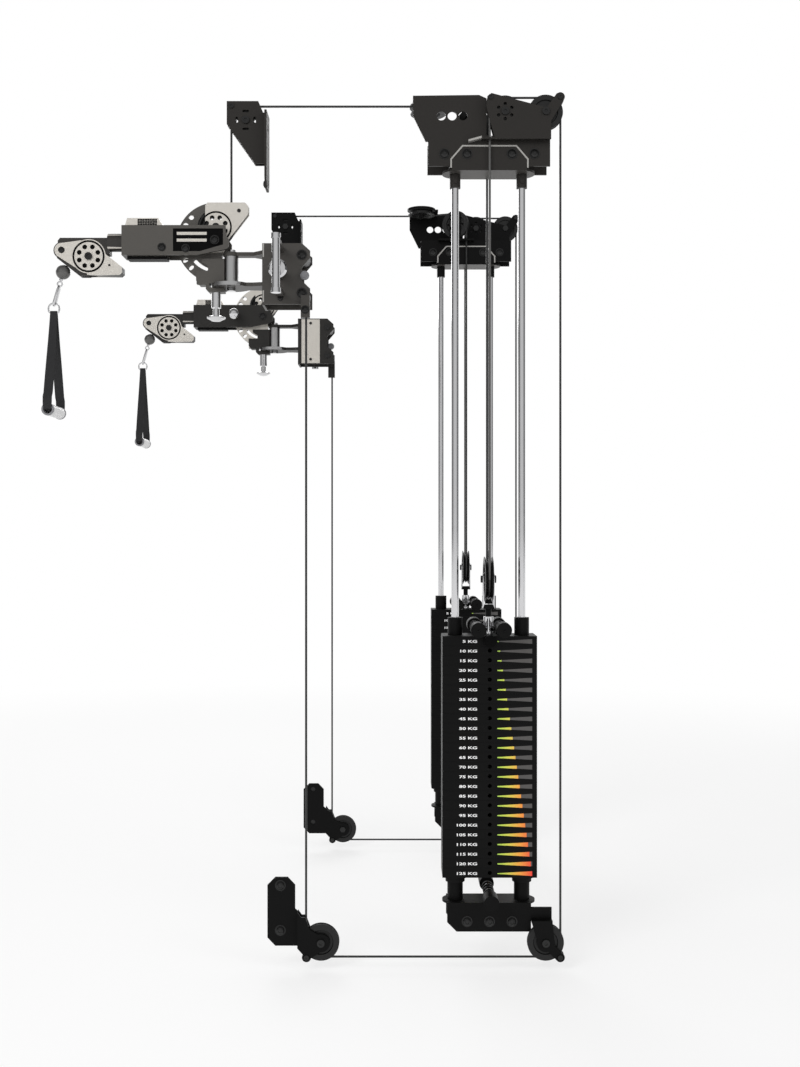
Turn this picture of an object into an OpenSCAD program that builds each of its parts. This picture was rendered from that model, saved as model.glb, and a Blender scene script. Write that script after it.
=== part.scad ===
// Pair of cable pulley columns for a power rack, seen as one set: right and left units, mirror images.
// X runs from the user's side (minus) to the back, Y = 0 is midway between the units, Z is up.
// Inside the modules, X = 0 is the middle of the weight stack, Y = 0 the middle of the rack tubes
// of one unit, with its outer side at minus Y, and Z = 0 is the floor.

/* [Rack the units bolt to] */
// Width of the rack's square tubes
tube_w = 75; // [70:1:80]
// Distance between the centre planes of the two units
unit_gap = 1165; // [1000:5:1400]
// Distance from the upright's centre to the middle of the weight stack
post_back = 558.5; // [530:1:650]
// Height of the lower beam's underside above the floor
beam_low_z = 93; // [88:1:120]
// Height of the upper beam's underside above the floor
beam_high_z = 2136; // [2050:5:2300]
// Pitch of the bolt holes along the beams
beam_pitch = 60; // [55:1:65]
// Diameter of the rack's fixing bolt holes
fix_d = 17; // [12:0.5:18]

/* [Cable and pulleys] */
// Diameter of the cable
cable_d = 6; // [4:0.5:7]
// Radius at which the cable's centre runs round a pulley
pulley_r = 40; // [38:1:42]
// How far a pulley's rim stands out past the cable's centre
rim_over = 8.5; // [6:0.5:9]
// Width of a pulley
pulley_w = 16; // [14:0.5:16]
// Radius at which the cable's centre runs round the moving stack pulley
lift_r = 52; // [50:0.5:53]
// Diameter of the pulley axles
axle_d = 12; // [10:0.5:14]
// Height of the cable line above the front upright
front_line_z = 2314.5; // [2305:0.5:2325]
// Height of the cable line over the two rear top pulleys
rear_line_z = 2320; // [2312:0.5:2326]
// Height of the cable line near the floor
floor_line_z = 33.4; // [30:0.2:38]
// Distance from the stack's middle to the rear cable
rear_run_x = 188; // [184:1:200]
// Distance from the upright's centre back to the cable that rises to the trolley
trolley_run = 69.5; // [67:0.5:74]
// Angle at which the cable turns in from the centre plane to the inner run
turn_in = 18.5; // [17:0.5:20]

/* [Sheet metal] */
// Thickness of the brackets
sheet = 6; // [5:0.5:6]
// Thickness of the thinner pulley side plates
cheek = 4; // [3:0.5:4.5]

/* [Weight stack] */
// Number of plates, the top one included
plate_count = 25; // [15:1:25]
// Width of a plate
plate_w = 252; // [248:1:280]
// Depth of a plate
plate_depth = 105; // [95:1:110]
// Thickness of a plate
plate_t = 25.4; // [22:0.1:25.4]
// Distance between the two guide rods
rod_pitch = 180; // [170:1:190]
// Diameter of a guide rod
rod_d = 20; // [18:0.5:25]
// Height of the lowest plate's underside above the lower beam
stack_rise = 75.3; // [60:0.1:90]

/* [Trolley] */
// Height of the trolley's bottom edge
trolley_z = 1772; // [1600:1:1780]
// Height of the trolley's plates
trolley_h = 163; // [155:1:168]
// Thickness of the trolley's plates
trolley_t = 5; // [4:0.5:6]
// Clearance between the trolley and the upright
slide_gap = 2; // [1:0.25:3]
// Diameter of the grab bar
grab_d = 21; // [18:0.5:24]

/* [Swivel and arm] */
// Height of the cable line along the arm
arm_z = 1946; // [1940:1:1950]
// Distance from the upright's front face out to the swivel axis
swivel_out = 99; // [96:1:110]
// Diameter of the swivel barrel
barrel_d = 38; // [34:1:42]
// Radius of the toothed sector plates round the pitch pivot
sector_r = 107; // [105:1:110]
// Radius at which the sector's locking holes lie
lock_r = 98; // [96:1:99]
// Angle between two locking holes
lock_step = 15; // [15:15:45]
// Distance from the pitch pivot to the arm's front end
arm_len = 250; // [240:1:300]
// Height of the arm's side walls
arm_h = 80; // [76:1:84]
// Half of the arm's outer width
arm_half = 34; // [32:0.5:38]
// Thickness of the arm's walls
arm_wall = 5; // [3:0.5:5.5]
// Distance from the pitch pivot to the head pulley
head_out = 342; // [335:1:400]

/* [Handle] */
// Diameter of the ball that stops the cable at the head
ball_d = 39.6; // [36:0.2:42]
// Width of the webbing
web_w = 25; // [20:0.5:28]
// Thickness of the webbing
web_t = 2.5; // [2:0.1:3]
// Length of the grip tube
grip_len = 124; // [110:1:135]
// Diameter of the grip tube
grip_d = 32; // [29:0.5:36]
// Height from the D ring down to the middle of the grip
strap_drop = 286; // [220:1:320]

/* [Hidden] */
$fn = 64;
// Running clearance of a shaft in its bore, on the radius
run_gap = 0.05;
// Gap between faces that move past each other
face_gap = 0.5;
// Gap between the cable and the bottom of a groove
groove_gap = 0.7;
// Gap between two resting plates
rest_gap = 0.35;

half_w = tube_w / 2;
axle_r = axle_d / 2;
cable_r = cable_d / 2;
rod_x = rod_pitch / 2;
rod_r = rod_d / 2;
rim_r = pulley_r + rim_over;
lift_rim_r = lift_r + rim_over;
half_p = pulley_w / 2;
lift_half = half_p + 3.5;

// The inner and outer cable runs hang from the moving stack pulley, so they lie at its radius
run_y = lift_r;
outer_in = -half_w - sheet;
outer_out = -run_y - half_p - face_gap;

post_x = -post_back;
post_face_x = post_x - half_w;
low_top_z = beam_low_z + tube_w;
high_top_z = beam_high_z + tube_w;
low_mid_z = beam_low_z + 31;
high_mid_z = high_top_z - 37;

// Pulley centres
swivel_x = post_face_x - swivel_out;
front_top_x = swivel_x + pulley_r;
front_top_z = front_line_z - pulley_r;
drop_x = -pulley_r * cos(turn_in);
drop_y = run_y - pulley_r * sin(turn_in);
idler_y = pulley_r;
idler_x = drop_x + (cos(turn_in) * (idler_y - drop_y) - pulley_r) / sin(turn_in);
rear_z = rear_line_z - pulley_r;
lift_top_x = pulley_r;
rear_top_x = rear_run_x - pulley_r;
base_z = floor_line_z + pulley_r;
front_run_x = post_x + trolley_run;
front_base_x = front_run_x + pulley_r;
guard_r = rim_r + 5.5;

// Stack
stack_z = low_top_z + stack_rise;
plate_pitch = plate_t + rest_gap;
top_plate_z = stack_z + (plate_count - 1) * plate_pitch;
stack_top_z = top_plate_z + plate_t;
pin_z = top_plate_z + plate_t / 2;
lift_z = stack_top_z + 150;
weight_r = 20;
weight_x = 33.5;
weight_len = 244;
weight_z = stack_top_z + weight_r + face_gap;
store_z = low_top_z + sheet + weight_r + face_gap;

// Swivel and arm
trolley_front_x = post_face_x - slide_gap - 3 - sheet;
trolley_in = half_w + slide_gap;
pivot_x = swivel_x - pulley_r;
pivot_pulley_z = arm_z + pulley_r;
head_x = pivot_x - head_out;
head_z = arm_z - pulley_r;
arm_front_x = pivot_x - arm_len;
arm_top_z = arm_z + arm_h / 2;
arm_low_z = arm_z - arm_h / 2;
spigot_r = 20;
lug_t = 10;
lug_r = 22;
disc_z = trolley_z + 51;
top_lug_z = trolley_z + 136;
disc_r = 52;
lock_pin_x = swivel_x - 41;
jaw_z = disc_z - face_gap - 12;

// The cable leaves the head along this line, down to the ball
ball_dx = -73;
ball_dz = -39.4;
ball_reach = norm([ball_dx, ball_dz]);
exit_angle = atan2(ball_dz, ball_dx) + 360 - acos(pulley_r / ball_reach);
exit_dx = pulley_r * cos(exit_angle);
exit_dz = pulley_r * sin(exit_angle);
exit_len = norm([ball_dx - exit_dx, ball_dz - exit_dz]);
exit_ux = (ball_dx - exit_dx) / exit_len;
exit_uz = (ball_dz - exit_dz) / exit_len;
ball_x = head_x + ball_dx;
ball_z = head_z + ball_dz;
ball_r = ball_d / 2;
ring_x = ball_x - 25;
ring_z = ball_z - 90;
hook_r = 3.5;
ring_t = 5;
grip_z = ring_z - strap_drop;
grip_r = grip_d / 2;

// The whole pair's own origin: the middle of its footprint, at its lowest point
ear_r = 12;
leftmost = ring_x - grip_r - 1;
rightmost = rear_top_x + guard_r * cos(45) + ear_r;
lowest = base_z - guard_r * sin(45) - ear_r;
mid_x = (leftmost + rightmost) / 2;
unit_y = unit_gap / 2;

// Placing

module on_right() {
    translate([-mid_x, -unit_y, -lowest]) children();
}

module on_left() {
    mirror([0, 1, 0]) on_right() children();
}

module on_both() {
    on_right() children();
    on_left() children();
}

// Shapes that repeat

module plate_xz(y0, y1) {
    translate([0, y1, 0]) rotate([90, 0, 0]) linear_extrude(y1 - y0) children();
}

module rod_along_y(x, z, y0, y1, r) {
    translate([x, y1, z]) rotate([90, 0, 0]) cylinder(h = y1 - y0, r = r);
}

module rod_along_x(y, z, x0, x1, r) {
    translate([x0, y, z]) rotate([0, 90, 0]) cylinder(h = x1 - x0, r = r);
}

module block(x0, x1, y0, y1, z0, z1) {
    translate([x0, y0, z0]) cube([x1 - x0, y1 - y0, z1 - z0]);
}

module disc_at(x, z, r) {
    translate([x, z]) circle(r = r);
}

module slot_between(a, b, r) {
    translate(a) circle(r = r);
    translate(b) circle(r = r);
    angle = atan2(b[1] - a[1], b[0] - a[0]);
    translate(a) rotate(angle) translate([0, -r]) square([norm(b - a), 2 * r]);
}

module stadium(half_x, half_y) {
    square([2 * (half_x - half_y), 2 * half_y], center = true);
    for (side = [-1, 1]) translate([side * (half_x - half_y), 0]) circle(r = half_y);
}

// A grooved wheel about Z, with lightening holes where hole_r is given, and its bearing ring
module pulley(line_r, hole_r = 4.5, half = half_p, over = rim_over) {
    edge_r = line_r + over;
    seat_r = axle_r + 8;
    web = 4;
    floor_r = line_r - cable_r - groove_gap;
    difference() {
        rotate_extrude() polygon([
            [seat_r, -half], [seat_r + 6, -half], [seat_r + 6, -web], [line_r - 9, -web],
            [line_r - 7, -half], [edge_r, -half], [edge_r, -half + 1.5],
            [floor_r, -cable_r - face_gap], [floor_r, cable_r + face_gap], [edge_r, half - 1.5],
            [edge_r, half], [line_r - 7, half], [line_r - 9, web], [seat_r + 6, web],
            [seat_r + 6, half], [seat_r, half]
        ]);
        if (hole_r > 0) for (turn = [0:60:300]) rotate(turn)
            translate([(seat_r + line_r - 3) / 2, 0, -half]) cylinder(h = 2 * half, r = hole_r);
    }
    difference() {
        translate([0, 0, -half]) cylinder(h = 2 * half, r = seat_r - run_gap);
        translate([0, 0, -2 * half]) cylinder(h = 4 * half, r = axle_r + run_gap);
    }
}

module pulley_at(x, y, z, hole_r = 4.5, over = rim_over) {
    translate([x, y, z]) rotate([90, 0, 0]) pulley(pulley_r, hole_r, half_p, over);
}

// A round headed bolt along Y with a hexagon socket and a hexagon nut
module bolt_y(x, z, y0, y1, r) {
    head = 0.8 * r;
    difference() {
        union() {
            rod_along_y(x, z, y0 - 0.1, y1 + 0.1, r);
            rod_along_y(x, z, y0 - head, y0, 1.7 * r);
            translate([x, y1 + head, z]) rotate([90, 0, 0]) cylinder(h = head, r = 1.8 * r, $fn = 6);
        }
        translate([x, y0 - head / 2, z]) rotate([90, 0, 0]) cylinder(h = head, r = 0.8 * r, $fn = 6);
    }
}

// Brackets on the rack

module sheet_holes(points, r) {
    for (p = points) disc_at(p[0], p[1], r);
}

function guard_point(x, z, side_x, side_z) =
    [x + side_x * guard_r * cos(45), z + side_z * guard_r * sin(45)];

lift_guard = guard_point(lift_top_x, rear_z, -1, 1);
rear_guard = guard_point(rear_top_x, rear_z, 1, 1);
base_guard = guard_point(rear_top_x, base_z, 1, -1);
front_guard = guard_point(front_base_x, base_z, -1, -1);
top_guard = guard_point(front_top_x, front_top_z, -1, 1);
guard_bolt_r = 4;

module rear_plate_outline() {
    difference() {
        union() {
            polygon([
                [lift_guard[0] - 9, lift_guard[1] + 2], [lift_guard[0] + 2, lift_guard[1] + 10],
                [lift_top_x + 82, rear_z + 17], [rear_top_x + 2, rear_z + 10],
                [rear_guard[0] - 9, rear_guard[1] + 10], [rear_guard[0] + 9, rear_guard[1] - 9],
                [rear_top_x + 14, rear_z - 26], [rear_top_x + 14, high_top_z],
                [lift_top_x - 28, high_top_z], [lift_top_x - 50, rear_z + 14]
            ]);
            disc_at(rear_guard[0], rear_guard[1], ear_r);
        }
        sheet_holes([lift_guard, rear_guard], guard_bolt_r + run_gap);
        sheet_holes([[lift_top_x, rear_z], [rear_top_x, rear_z]], axle_r + run_gap);
        for (turn = [30:60:330])
            disc_at(lift_top_x + 20 * cos(turn), rear_z + 20 * sin(turn), 4.6);
    }
}

notch_half = 105;
flange_half = 100;
shield_x = idler_x - 42;

module housing_outline() {
    shield_top = high_top_z + 120;
    difference() {
        union() {
            polygon([
                [-164, high_top_z - 70], [162, high_top_z - 70], [162, high_top_z + sheet],
                [-8, high_top_z + sheet], [-8, shield_top - 9], [-28, shield_top],
                [shield_x + 6, shield_top - 2], [shield_x, shield_top - 7],
                [shield_x, high_top_z + 63], [shield_x + 33, high_top_z - 4], [-164, high_top_z - 4]
            ]);
            rear_plate_outline();
        }
        polygon([
            [-notch_half, beam_high_z - 10], [-notch_half, high_top_z - 50],
            [-notch_half + 32, high_top_z - 13], [notch_half - 32, high_top_z - 13],
            [notch_half, high_top_z - 50], [notch_half, beam_high_z - 10]
        ]);
        sheet_holes([[-2 * beam_pitch, high_mid_z], [2 * beam_pitch, high_mid_z]], fix_d / 2);
        // A plain row of three round windows
        for (k = [0:2]) disc_at(shield_x + 75 + 29 * k, high_top_z + 64, 12);
        sheet_holes([[lift_top_x, rear_z]], axle_r + run_gap);
    }
}

module drop_frame() {
    translate([drop_x, drop_y, 0]) rotate(turn_in) children();
}

strap_top = front_top_z + 42;

module top_housing() {
    color([0.2, 0.2, 0.19]) {
        difference() {
            union() {
                plate_xz(outer_in, -half_w) housing_outline();
                plate_xz(half_w, half_w + sheet) intersection() {
                    housing_outline();
                    translate([-164, beam_high_z]) square([326, tube_w + sheet]);
                }
                plate_xz(outer_out - sheet, outer_out) rear_plate_outline();
                block(-22, 162, outer_out, outer_in, high_top_z, high_top_z + sheet);
                // Lip of the shelf, which slopes down to the front
                plate_xz(outer_out, outer_in) polygon([
                    [-21, high_top_z], [-21, high_top_z + sheet], [-57, high_top_z - 4],
                    [-57, high_top_z - 9]
                ]);
                block(-22, 162, outer_out - sheet, outer_out, high_top_z - 4, high_top_z + 0.1);
                // Inner shelf on the beam, which carries the drop pulley
                block(drop_x - 62, 26, -half_w, run_y + 22, high_top_z, high_top_z + sheet);
                block(-164, 162, half_w - 8, half_w + sheet, high_top_z, high_top_z + sheet);
                drop_frame() for (side = [-1, 1])
                    block(-20, 20, side > 0 ? half_p + face_gap : -half_p - face_gap - cheek,
                        side > 0 ? half_p + face_gap + cheek : -half_p - face_gap,
                        high_top_z + sheet - 0.1, strap_top);
                // Tab that carries the idler pulley from above
                translate([0, 0, front_line_z + half_p + face_gap]) linear_extrude(sheet) {
                    translate([idler_x, idler_y]) circle(r = rim_r + 2);
                    translate([idler_x - rim_r + 6, outer_in]) square([2 * rim_r + 6, idler_y - outer_in]);
                }
            }
            for (y = [-run_y, run_y]) translate([0, y, high_top_z - 1]) cylinder(h = sheet + 2, r = 9);
            drop_frame() rod_along_y(0, front_top_z, -30, 30, axle_r + run_gap);
            translate([idler_x, idler_y, front_line_z]) cylinder(h = 40, r = axle_r + run_gap);
        }
    }
}

module rod_support() {
    color([0.2, 0.2, 0.19]) difference() {
        union() {
            translate([0, 0, beam_high_z - sheet]) linear_extrude(sheet) stadium(plate_w / 2 - 1, 40);
            for (y = [outer_in, half_w]) plate_xz(y, y + sheet) difference() {
                polygon([
                    [-flange_half, beam_high_z - sheet], [-flange_half, high_top_z - 52],
                    [-flange_half + 30, high_top_z - 18], [flange_half - 30, high_top_z - 18],
                    [flange_half, high_top_z - 52], [flange_half, beam_high_z - sheet]
                ]);
                sheet_holes([[-beam_pitch, high_mid_z], [beam_pitch, high_mid_z]], fix_d / 2);
            }
            for (x = [-rod_x, rod_x]) {
                translate([x, 0, beam_high_z - sheet - 37]) cylinder(h = 37.1, r = rod_r + 4.5);
                rod_along_y(x, beam_high_z - sheet - 22, -rod_r - 8, -rod_r - 2, 5);
            }
        }
        for (x = [-rod_x, rod_x]) translate([x, 0, beam_high_z - sheet - 40])
            cylinder(h = 40, r = rod_r + run_gap);
    }
}

module front_top_bracket() {
    inner = half_p + face_gap;
    color([0.2, 0.2, 0.19]) difference() {
        union() {
            for (y = [-inner - cheek, inner]) plate_xz(y, y + cheek) difference() {
                polygon([
                    [front_top_x - 51, front_top_z + 51], [front_top_x + 34, front_top_z + 51],
                    [front_top_x + 47, front_top_z + 20], [post_face_x - sheet + 0.1, front_top_z + 20],
                    [post_face_x - sheet + 0.1, front_top_z - 117], [front_top_x + 24, front_top_z - 117],
                    [front_top_x - 51, front_top_z - 11]
                ]);
                sheet_holes([[front_top_x, front_top_z]], axle_r + run_gap);
                sheet_holes([top_guard], guard_bolt_r + run_gap);
                for (turn = [0:90:270]) translate([front_top_x, front_top_z]) rotate(turn)
                    slot_between([24, -5.5], [24, 5.5], 3.4);
            }
            translate([post_face_x - sheet, 0, 0]) rotate([90, 0, 90]) linear_extrude(sheet) polygon([
                [-half_w, front_top_z + 20], [half_w, front_top_z + 20], [half_w, front_top_z - 160],
                [half_w - 14, front_top_z - 186], [-half_w + 14, front_top_z - 186],
                [-half_w, front_top_z - 160]
            ]);
        }
        for (dz = [-170, -20]) rod_along_x(0, front_top_z + dz, post_face_x - 7, post_face_x + 1, fix_d / 2);
    }
}

module base_cheek_outline() {
    difference() {
        union() {
            polygon([
                [rear_top_x - 37, low_top_z - 42], [rear_top_x + 18, low_top_z - 42],
                [rear_top_x + 22, base_z + 10], [rear_top_x - 24, base_z + 10]
            ]);
            disc_at(rear_top_x, base_z, 24);
            slot_between([rear_top_x + 4, base_z - 4], base_guard, ear_r);
        }
        sheet_holes([[rear_top_x, base_z]], axle_r + run_gap);
        sheet_holes([base_guard], guard_bolt_r + run_gap);
    }
}

module base_flange_outline() {
    polygon([
        [-113, low_top_z + sheet], [111, low_top_z + sheet], [111, beam_low_z + 4],
        [-88, beam_low_z + 4], [-113, beam_low_z + 29]
    ]);
}

module base_bracket() {
    foot_x = plate_w / 2 - 1;
    post_top = stack_z - face_gap - 21;
    color([0.13, 0.13, 0.13]) difference() {
        union() {
            translate([0, 0, low_top_z]) linear_extrude(sheet) stadium(foot_x, 40);
            for (x = [-rod_x, rod_x]) translate([x, 0, low_top_z + sheet - 0.1])
                cylinder(h = post_top - low_top_z - sheet + 0.1, r = 21);
            for (y = [outer_in, half_w]) plate_xz(y, y + sheet) difference() {
                base_flange_outline();
                for (x = [-beam_pitch, 0, beam_pitch]) disc_at(x, low_mid_z, fix_d / 2);
            }
            plate_xz(outer_in, -half_w) difference() {
                union() {
                    translate([100, low_top_z - 42]) square([rear_top_x - 82, 36]);
                    base_cheek_outline();
                }
                disc_at(rear_top_x, base_z, axle_r + run_gap);
            }
            plate_xz(outer_out - sheet, outer_out) base_cheek_outline();
            block(rear_top_x - 37, rear_top_x + 18, outer_out - sheet, outer_in + 0.1,
                low_top_z - 42, low_top_z - 36);
            for (y = [-32, 24]) block(-12, 12, y, y + 8, low_top_z + sheet - 0.1, store_z - 12 - face_gap);
        }
        for (x = [-rod_x, rod_x]) translate([x, 0, low_top_z + sheet])
            cylinder(h = 80, r = rod_r + run_gap);
    }
}

module front_cheek_outline() {
    difference() {
        union() {
            polygon([
                [post_x + 47, base_z - 14], [post_x + 47, base_z + 82], [post_x + 57, base_z + 68],
                [post_x + 68, base_z + 68], [post_x + 80, base_z + 36], [front_base_x - 6, base_z + 22],
                [front_base_x, base_z - 23], [front_guard[0] + 6, front_guard[1] - 6],
                [front_guard[0] - 8, front_guard[1] + 6]
            ]);
            disc_at(front_base_x, base_z, 24);
            disc_at(front_guard[0], front_guard[1], ear_r);
        }
        sheet_holes([[front_base_x, base_z]], axle_r + run_gap);
        sheet_holes([front_guard], guard_bolt_r + run_gap);
    }
}

module front_base_bracket() {
    left = post_x - half_w + 3;
    right = post_x + half_w + 2;
    color([0.1, 0.1, 0.1]) {
        plate_xz(outer_in, -half_w) difference() {
            union() {
                polygon([
                    [left, base_z + 8], [left, base_z + 148], [left + 21, base_z + 169],
                    [right - 20, base_z + 169], [right, base_z + 148], [right, base_z + 84],
                    [post_x + 50, base_z + 75], [post_x + 50, base_z - 14], [left + 21, base_z - 14]
                ]);
                front_cheek_outline();
            }
            for (dz = [27, 147]) disc_at(post_x, base_z + dz, fix_d / 2);
            disc_at(front_base_x, base_z, axle_r + run_gap);
        }
        plate_xz(outer_out - sheet, outer_out) front_cheek_outline();
        block(post_x + 47, post_x + 53, outer_out - sheet, outer_in + 0.1, base_z - 14, base_z + 68);
    }
}

module guide_rod_pair() {
    color("silver") for (x = [-rod_x, rod_x]) translate([x, 0, low_top_z + sheet])
        cylinder(h = beam_high_z - low_top_z - 2 * sheet, r = rod_r);
}

module bumper_pair() {
    color([0.08, 0.08, 0.08]) for (x = [-rod_x, rod_x])
        translate([x, 0, stack_z - face_gap - 21]) difference() {
            union() {
                cylinder(h = 12, r = 26);
                translate([0, 0, 12]) cylinder(h = 9, r = 34);
            }
            translate([0, 0, -1]) cylinder(h = 30, r = rod_r + 0.3);
        }
}

// Axles of the pulleys that are fixed to the rack, with their spacers and the cable guard bolts

module axle_set() {
    inner = half_p + face_gap + cheek;
    color([0.1, 0.1, 0.1]) {
        for (x = [lift_top_x, rear_top_x]) bolt_y(x, rear_z, outer_out - sheet, -half_w, axle_r);
        for (x = [rear_top_x, front_base_x]) bolt_y(x, base_z, outer_out - sheet, -half_w, axle_r);
        for (p = [lift_guard, rear_guard, base_guard, front_guard])
            bolt_y(p[0], p[1], outer_out - sheet, -half_w, guard_bolt_r);
        bolt_y(front_top_x, front_top_z, -inner, inner, axle_r);
        bolt_y(top_guard[0], top_guard[1], -inner, inner, guard_bolt_r);
        drop_frame() bolt_y(0, front_top_z, -inner, inner, axle_r);
        translate([idler_x, idler_y, front_line_z]) rotate([90, 0, 0])
            bolt_y(0, 0, -half_p - face_gap, half_p + face_gap + sheet, axle_r);
    }
}

// Weight stack

module plate_blank(z, core_r) {
    difference() {
        block(-plate_w / 2, plate_w / 2, -plate_depth / 2, plate_depth / 2, z, z + plate_t);
        for (x = [-rod_x, rod_x]) translate([x, 0, z - 1]) cylinder(h = plate_t + 2, r = rod_r + 1);
        translate([0, 0, z - 1]) cylinder(h = plate_t + 2, r = core_r);
        rod_along_y(0, z + plate_t / 2, -plate_depth, 0, selector_r + 0.5);
    }
}

core_r = 12;
selector_r = 5;
neck_r = 12;

module weight_bar(x, z) {
    disc_len = 55;
    for (side = [0, 1]) mirror([0, side, 0])
        rod_along_y(x, z, weight_len / 2 - disc_len, weight_len / 2, weight_r);
    rod_along_y(x, z, -weight_len / 2 + 1, weight_len / 2 - 1, neck_r);
    for (y = [-40, -14, 8, 34]) rod_along_y(x, z, y, y + 6, neck_r + 3);
}

module resting_weights() {
    color([0.1, 0.1, 0.1]) {
        for (k = [0:plate_count - 2]) plate_blank(stack_z + k * plate_pitch, core_r + 1);
        weight_bar(0, store_z);
    }
}

module top_plate() {
    color([0.1, 0.1, 0.1]) {
        plate_blank(top_plate_z, core_r + run_gap);
        for (x = [-rod_x, rod_x]) translate([x, 0, stack_top_z - 0.1]) difference() {
            cylinder(h = 47, r = 20);
            translate([0, 0, -1]) cylinder(h = 50, r = rod_r + 1);
        }
        for (x = [-weight_x, weight_x], y = [-30, 22])
            block(x - 12, x + 12, y, y + 8, stack_top_z - 0.1, weight_z - neck_r - face_gap);
    }
}

module add_on_weights() {
    color([0.15, 0.15, 0.15]) for (x = [-weight_x, weight_x]) weight_bar(x, weight_z);
}

module selector_pin() {
    color([0.1, 0.1, 0.1]) {
        rod_along_y(0, pin_z, -plate_depth / 2 - 8, -core_r + 4, selector_r);
        rod_along_y(0, pin_z, -plate_depth / 2 - 26, -plate_depth / 2 - 6, 16);
    }
}

module selector_rod() {
    bridge_z = lift_z - lift_rim_r - 7;
    cheek_in = lift_half + face_gap;
    color("silver") difference() {
        union() {
            translate([0, 0, stack_z + 3]) cylinder(h = stack_top_z - stack_z, r = core_r);
            translate([0, 0, stack_top_z + 1]) cylinder(h = 48, r = 13.5);
            translate([0, 0, stack_top_z + 40]) cylinder(h = bridge_z - stack_top_z - 40, r = 8);
            block(-cheek_in - cheek, cheek_in + cheek, -16, 16, bridge_z - 12, bridge_z);
            for (x = [-cheek_in - cheek, cheek_in]) translate([x, 0, 0]) rotate([90, 0, 90])
                linear_extrude(cheek) {
                    translate([-16, bridge_z - 12]) square([32, lift_z - bridge_z + 12]);
                    translate([0, lift_z]) circle(r = 16);
                }
        }
        for (k = [0:plate_count - 1])
            rod_along_y(0, stack_z + plate_t / 2 + k * plate_pitch, -20, 20, selector_r + run_gap);
        rod_along_x(0, lift_z, -40, 40, axle_r + run_gap);
    }
    color([0.1, 0.1, 0.1]) translate([0, 0, lift_z]) rotate(90)
        bolt_y(0, 0, -cheek_in - cheek, cheek_in + cheek, axle_r);
}

// Trolley on the upright

grip_y = -half_w - 125;
pin_hole_r = 8;

module trolley_outline() {
    front = trolley_front_x + sheet;
    back = post_x + 79.5;
    top = trolley_z + trolley_h;
    polygon([
        [front, trolley_z], [back, trolley_z], [back, trolley_z + 42], [back - 22, trolley_z + 63],
        [back - 22, trolley_z + 98], [back, trolley_z + 124], [back, top - 20], [back - 22, top],
        [front, top]
    ]);
}

module lug_outline(end_r, neck) {
    far = trolley_front_x;
    polygon([
        [far, -36], [far, 36], [far - 26, neck], [swivel_x, neck], [swivel_x, -neck], [far - 26, -neck]
    ]);
    translate([swivel_x, 0]) circle(r = end_r);
}

module trolley() {
    out = trolley_in + trolley_t;
    roller_x = post_x + half_w + 20;
    top = trolley_z + trolley_h;
    pin_z_mid = trolley_z + 80;
    color([0.22, 0.22, 0.21]) difference() {
        union() {
            for (y = [-out, trolley_in]) plate_xz(y, y + trolley_t) trolley_outline();
            block(trolley_front_x, trolley_front_x + sheet, -out, out, trolley_z - 2, top);
            translate([0, 0, top_lug_z]) linear_extrude(lug_t) lug_outline(lug_r, 14);
            translate([0, 0, disc_z]) linear_extrude(lug_t) lug_outline(disc_r, 30);
            // Clevis that holds the end of the cable
            block(front_run_x - 14, front_run_x + 10, -run_y - 7, -out + 0.1, trolley_z - 38, trolley_z + 22);
            // Housing of the height pin
            rod_along_y(post_x, pin_z_mid, -out - 34, -out + 0.1, 14);
            // Arms of the grab bar
            for (z = [trolley_z + 26, top - 18])
                block(post_x - 10, post_x + 10, grip_y, -out + 0.1, z - 6, z + 6);
        }
        translate([swivel_x, 0, disc_z - 1]) cylinder(h = 120, r = 8 + run_gap);
        for (turn = [-90:30:90]) translate([swivel_x, 0, disc_z - 1]) rotate(180 + turn)
            translate([41, 0, 0]) cylinder(h = lug_t + 2, r = 5.5);
        rod_along_y(post_x, pin_z_mid, -out - 40, -trolley_in + 1, pin_hole_r + run_gap);
        for (z = [trolley_z + 30, top - 31]) rod_along_y(roller_x, z, -out - 5, out + 5, axle_r + run_gap);
    }
    color("silver") {
        difference() {
            union() {
                translate([post_x, grip_y, trolley_z + 12]) cylinder(h = trolley_h - 19, r = grab_d / 2);
                for (z = [trolley_z + 8, top - 14]) translate([post_x, grip_y, z]) cylinder(h = 12, r = 13);
            }
            for (z = [trolley_z + 26, top - 18])
                block(post_x - 11, post_x + 11, grip_y - 0.1, -out, z - 6.1, z + 6.1);
        }
    }
    color([0.15, 0.15, 0.15]) for (z = [trolley_z + 30, top - 31]) {
        difference() {
            rod_along_y(roller_x, z, -trolley_in + 1, trolley_in - 1, 19);
            rod_along_y(roller_x, z, -trolley_in, trolley_in, axle_r + run_gap);
        }
        bolt_y(roller_x, z, -out, out, axle_r);
    }
    // Swivel pin with its two heads
    color("silver") {
        translate([swivel_x, 0, disc_z - 8]) cylinder(h = top_lug_z + lug_t + 8 - disc_z + 8, r = 8);
        translate([swivel_x, 0, disc_z - 8]) cylinder(h = 7.5, r = 12);
        translate([swivel_x, 0, top_lug_z + lug_t + 0.5]) cylinder(h = 7, r = 12);
    }
}

module height_pin() {
    out = trolley_in + trolley_t;
    z = trolley_z + 80;
    color("silver") {
        rod_along_y(post_x, z, -out - 62, -half_w + 20, pin_hole_r);
        translate([post_x, -out - 42, z]) rotate([90, 0, 0]) rotate_extrude() polygon([
            [0, 0], [12, 0], [12, 14], [25, 26], [25, 32], [20, 38], [0, 40]
        ]);
    }
}

// Swivel bracket with its sector plates, pulley side plates and pitch pins

body_back_x = swivel_x - lug_r - 2;
sector_in = cable_r + face_gap;
sector_out = half_p + face_gap;
pin_r = 8;
stop_r = 6;

function lock_angles() = [for (turn = [-45:lock_step:45]) 180 + turn];

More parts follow.
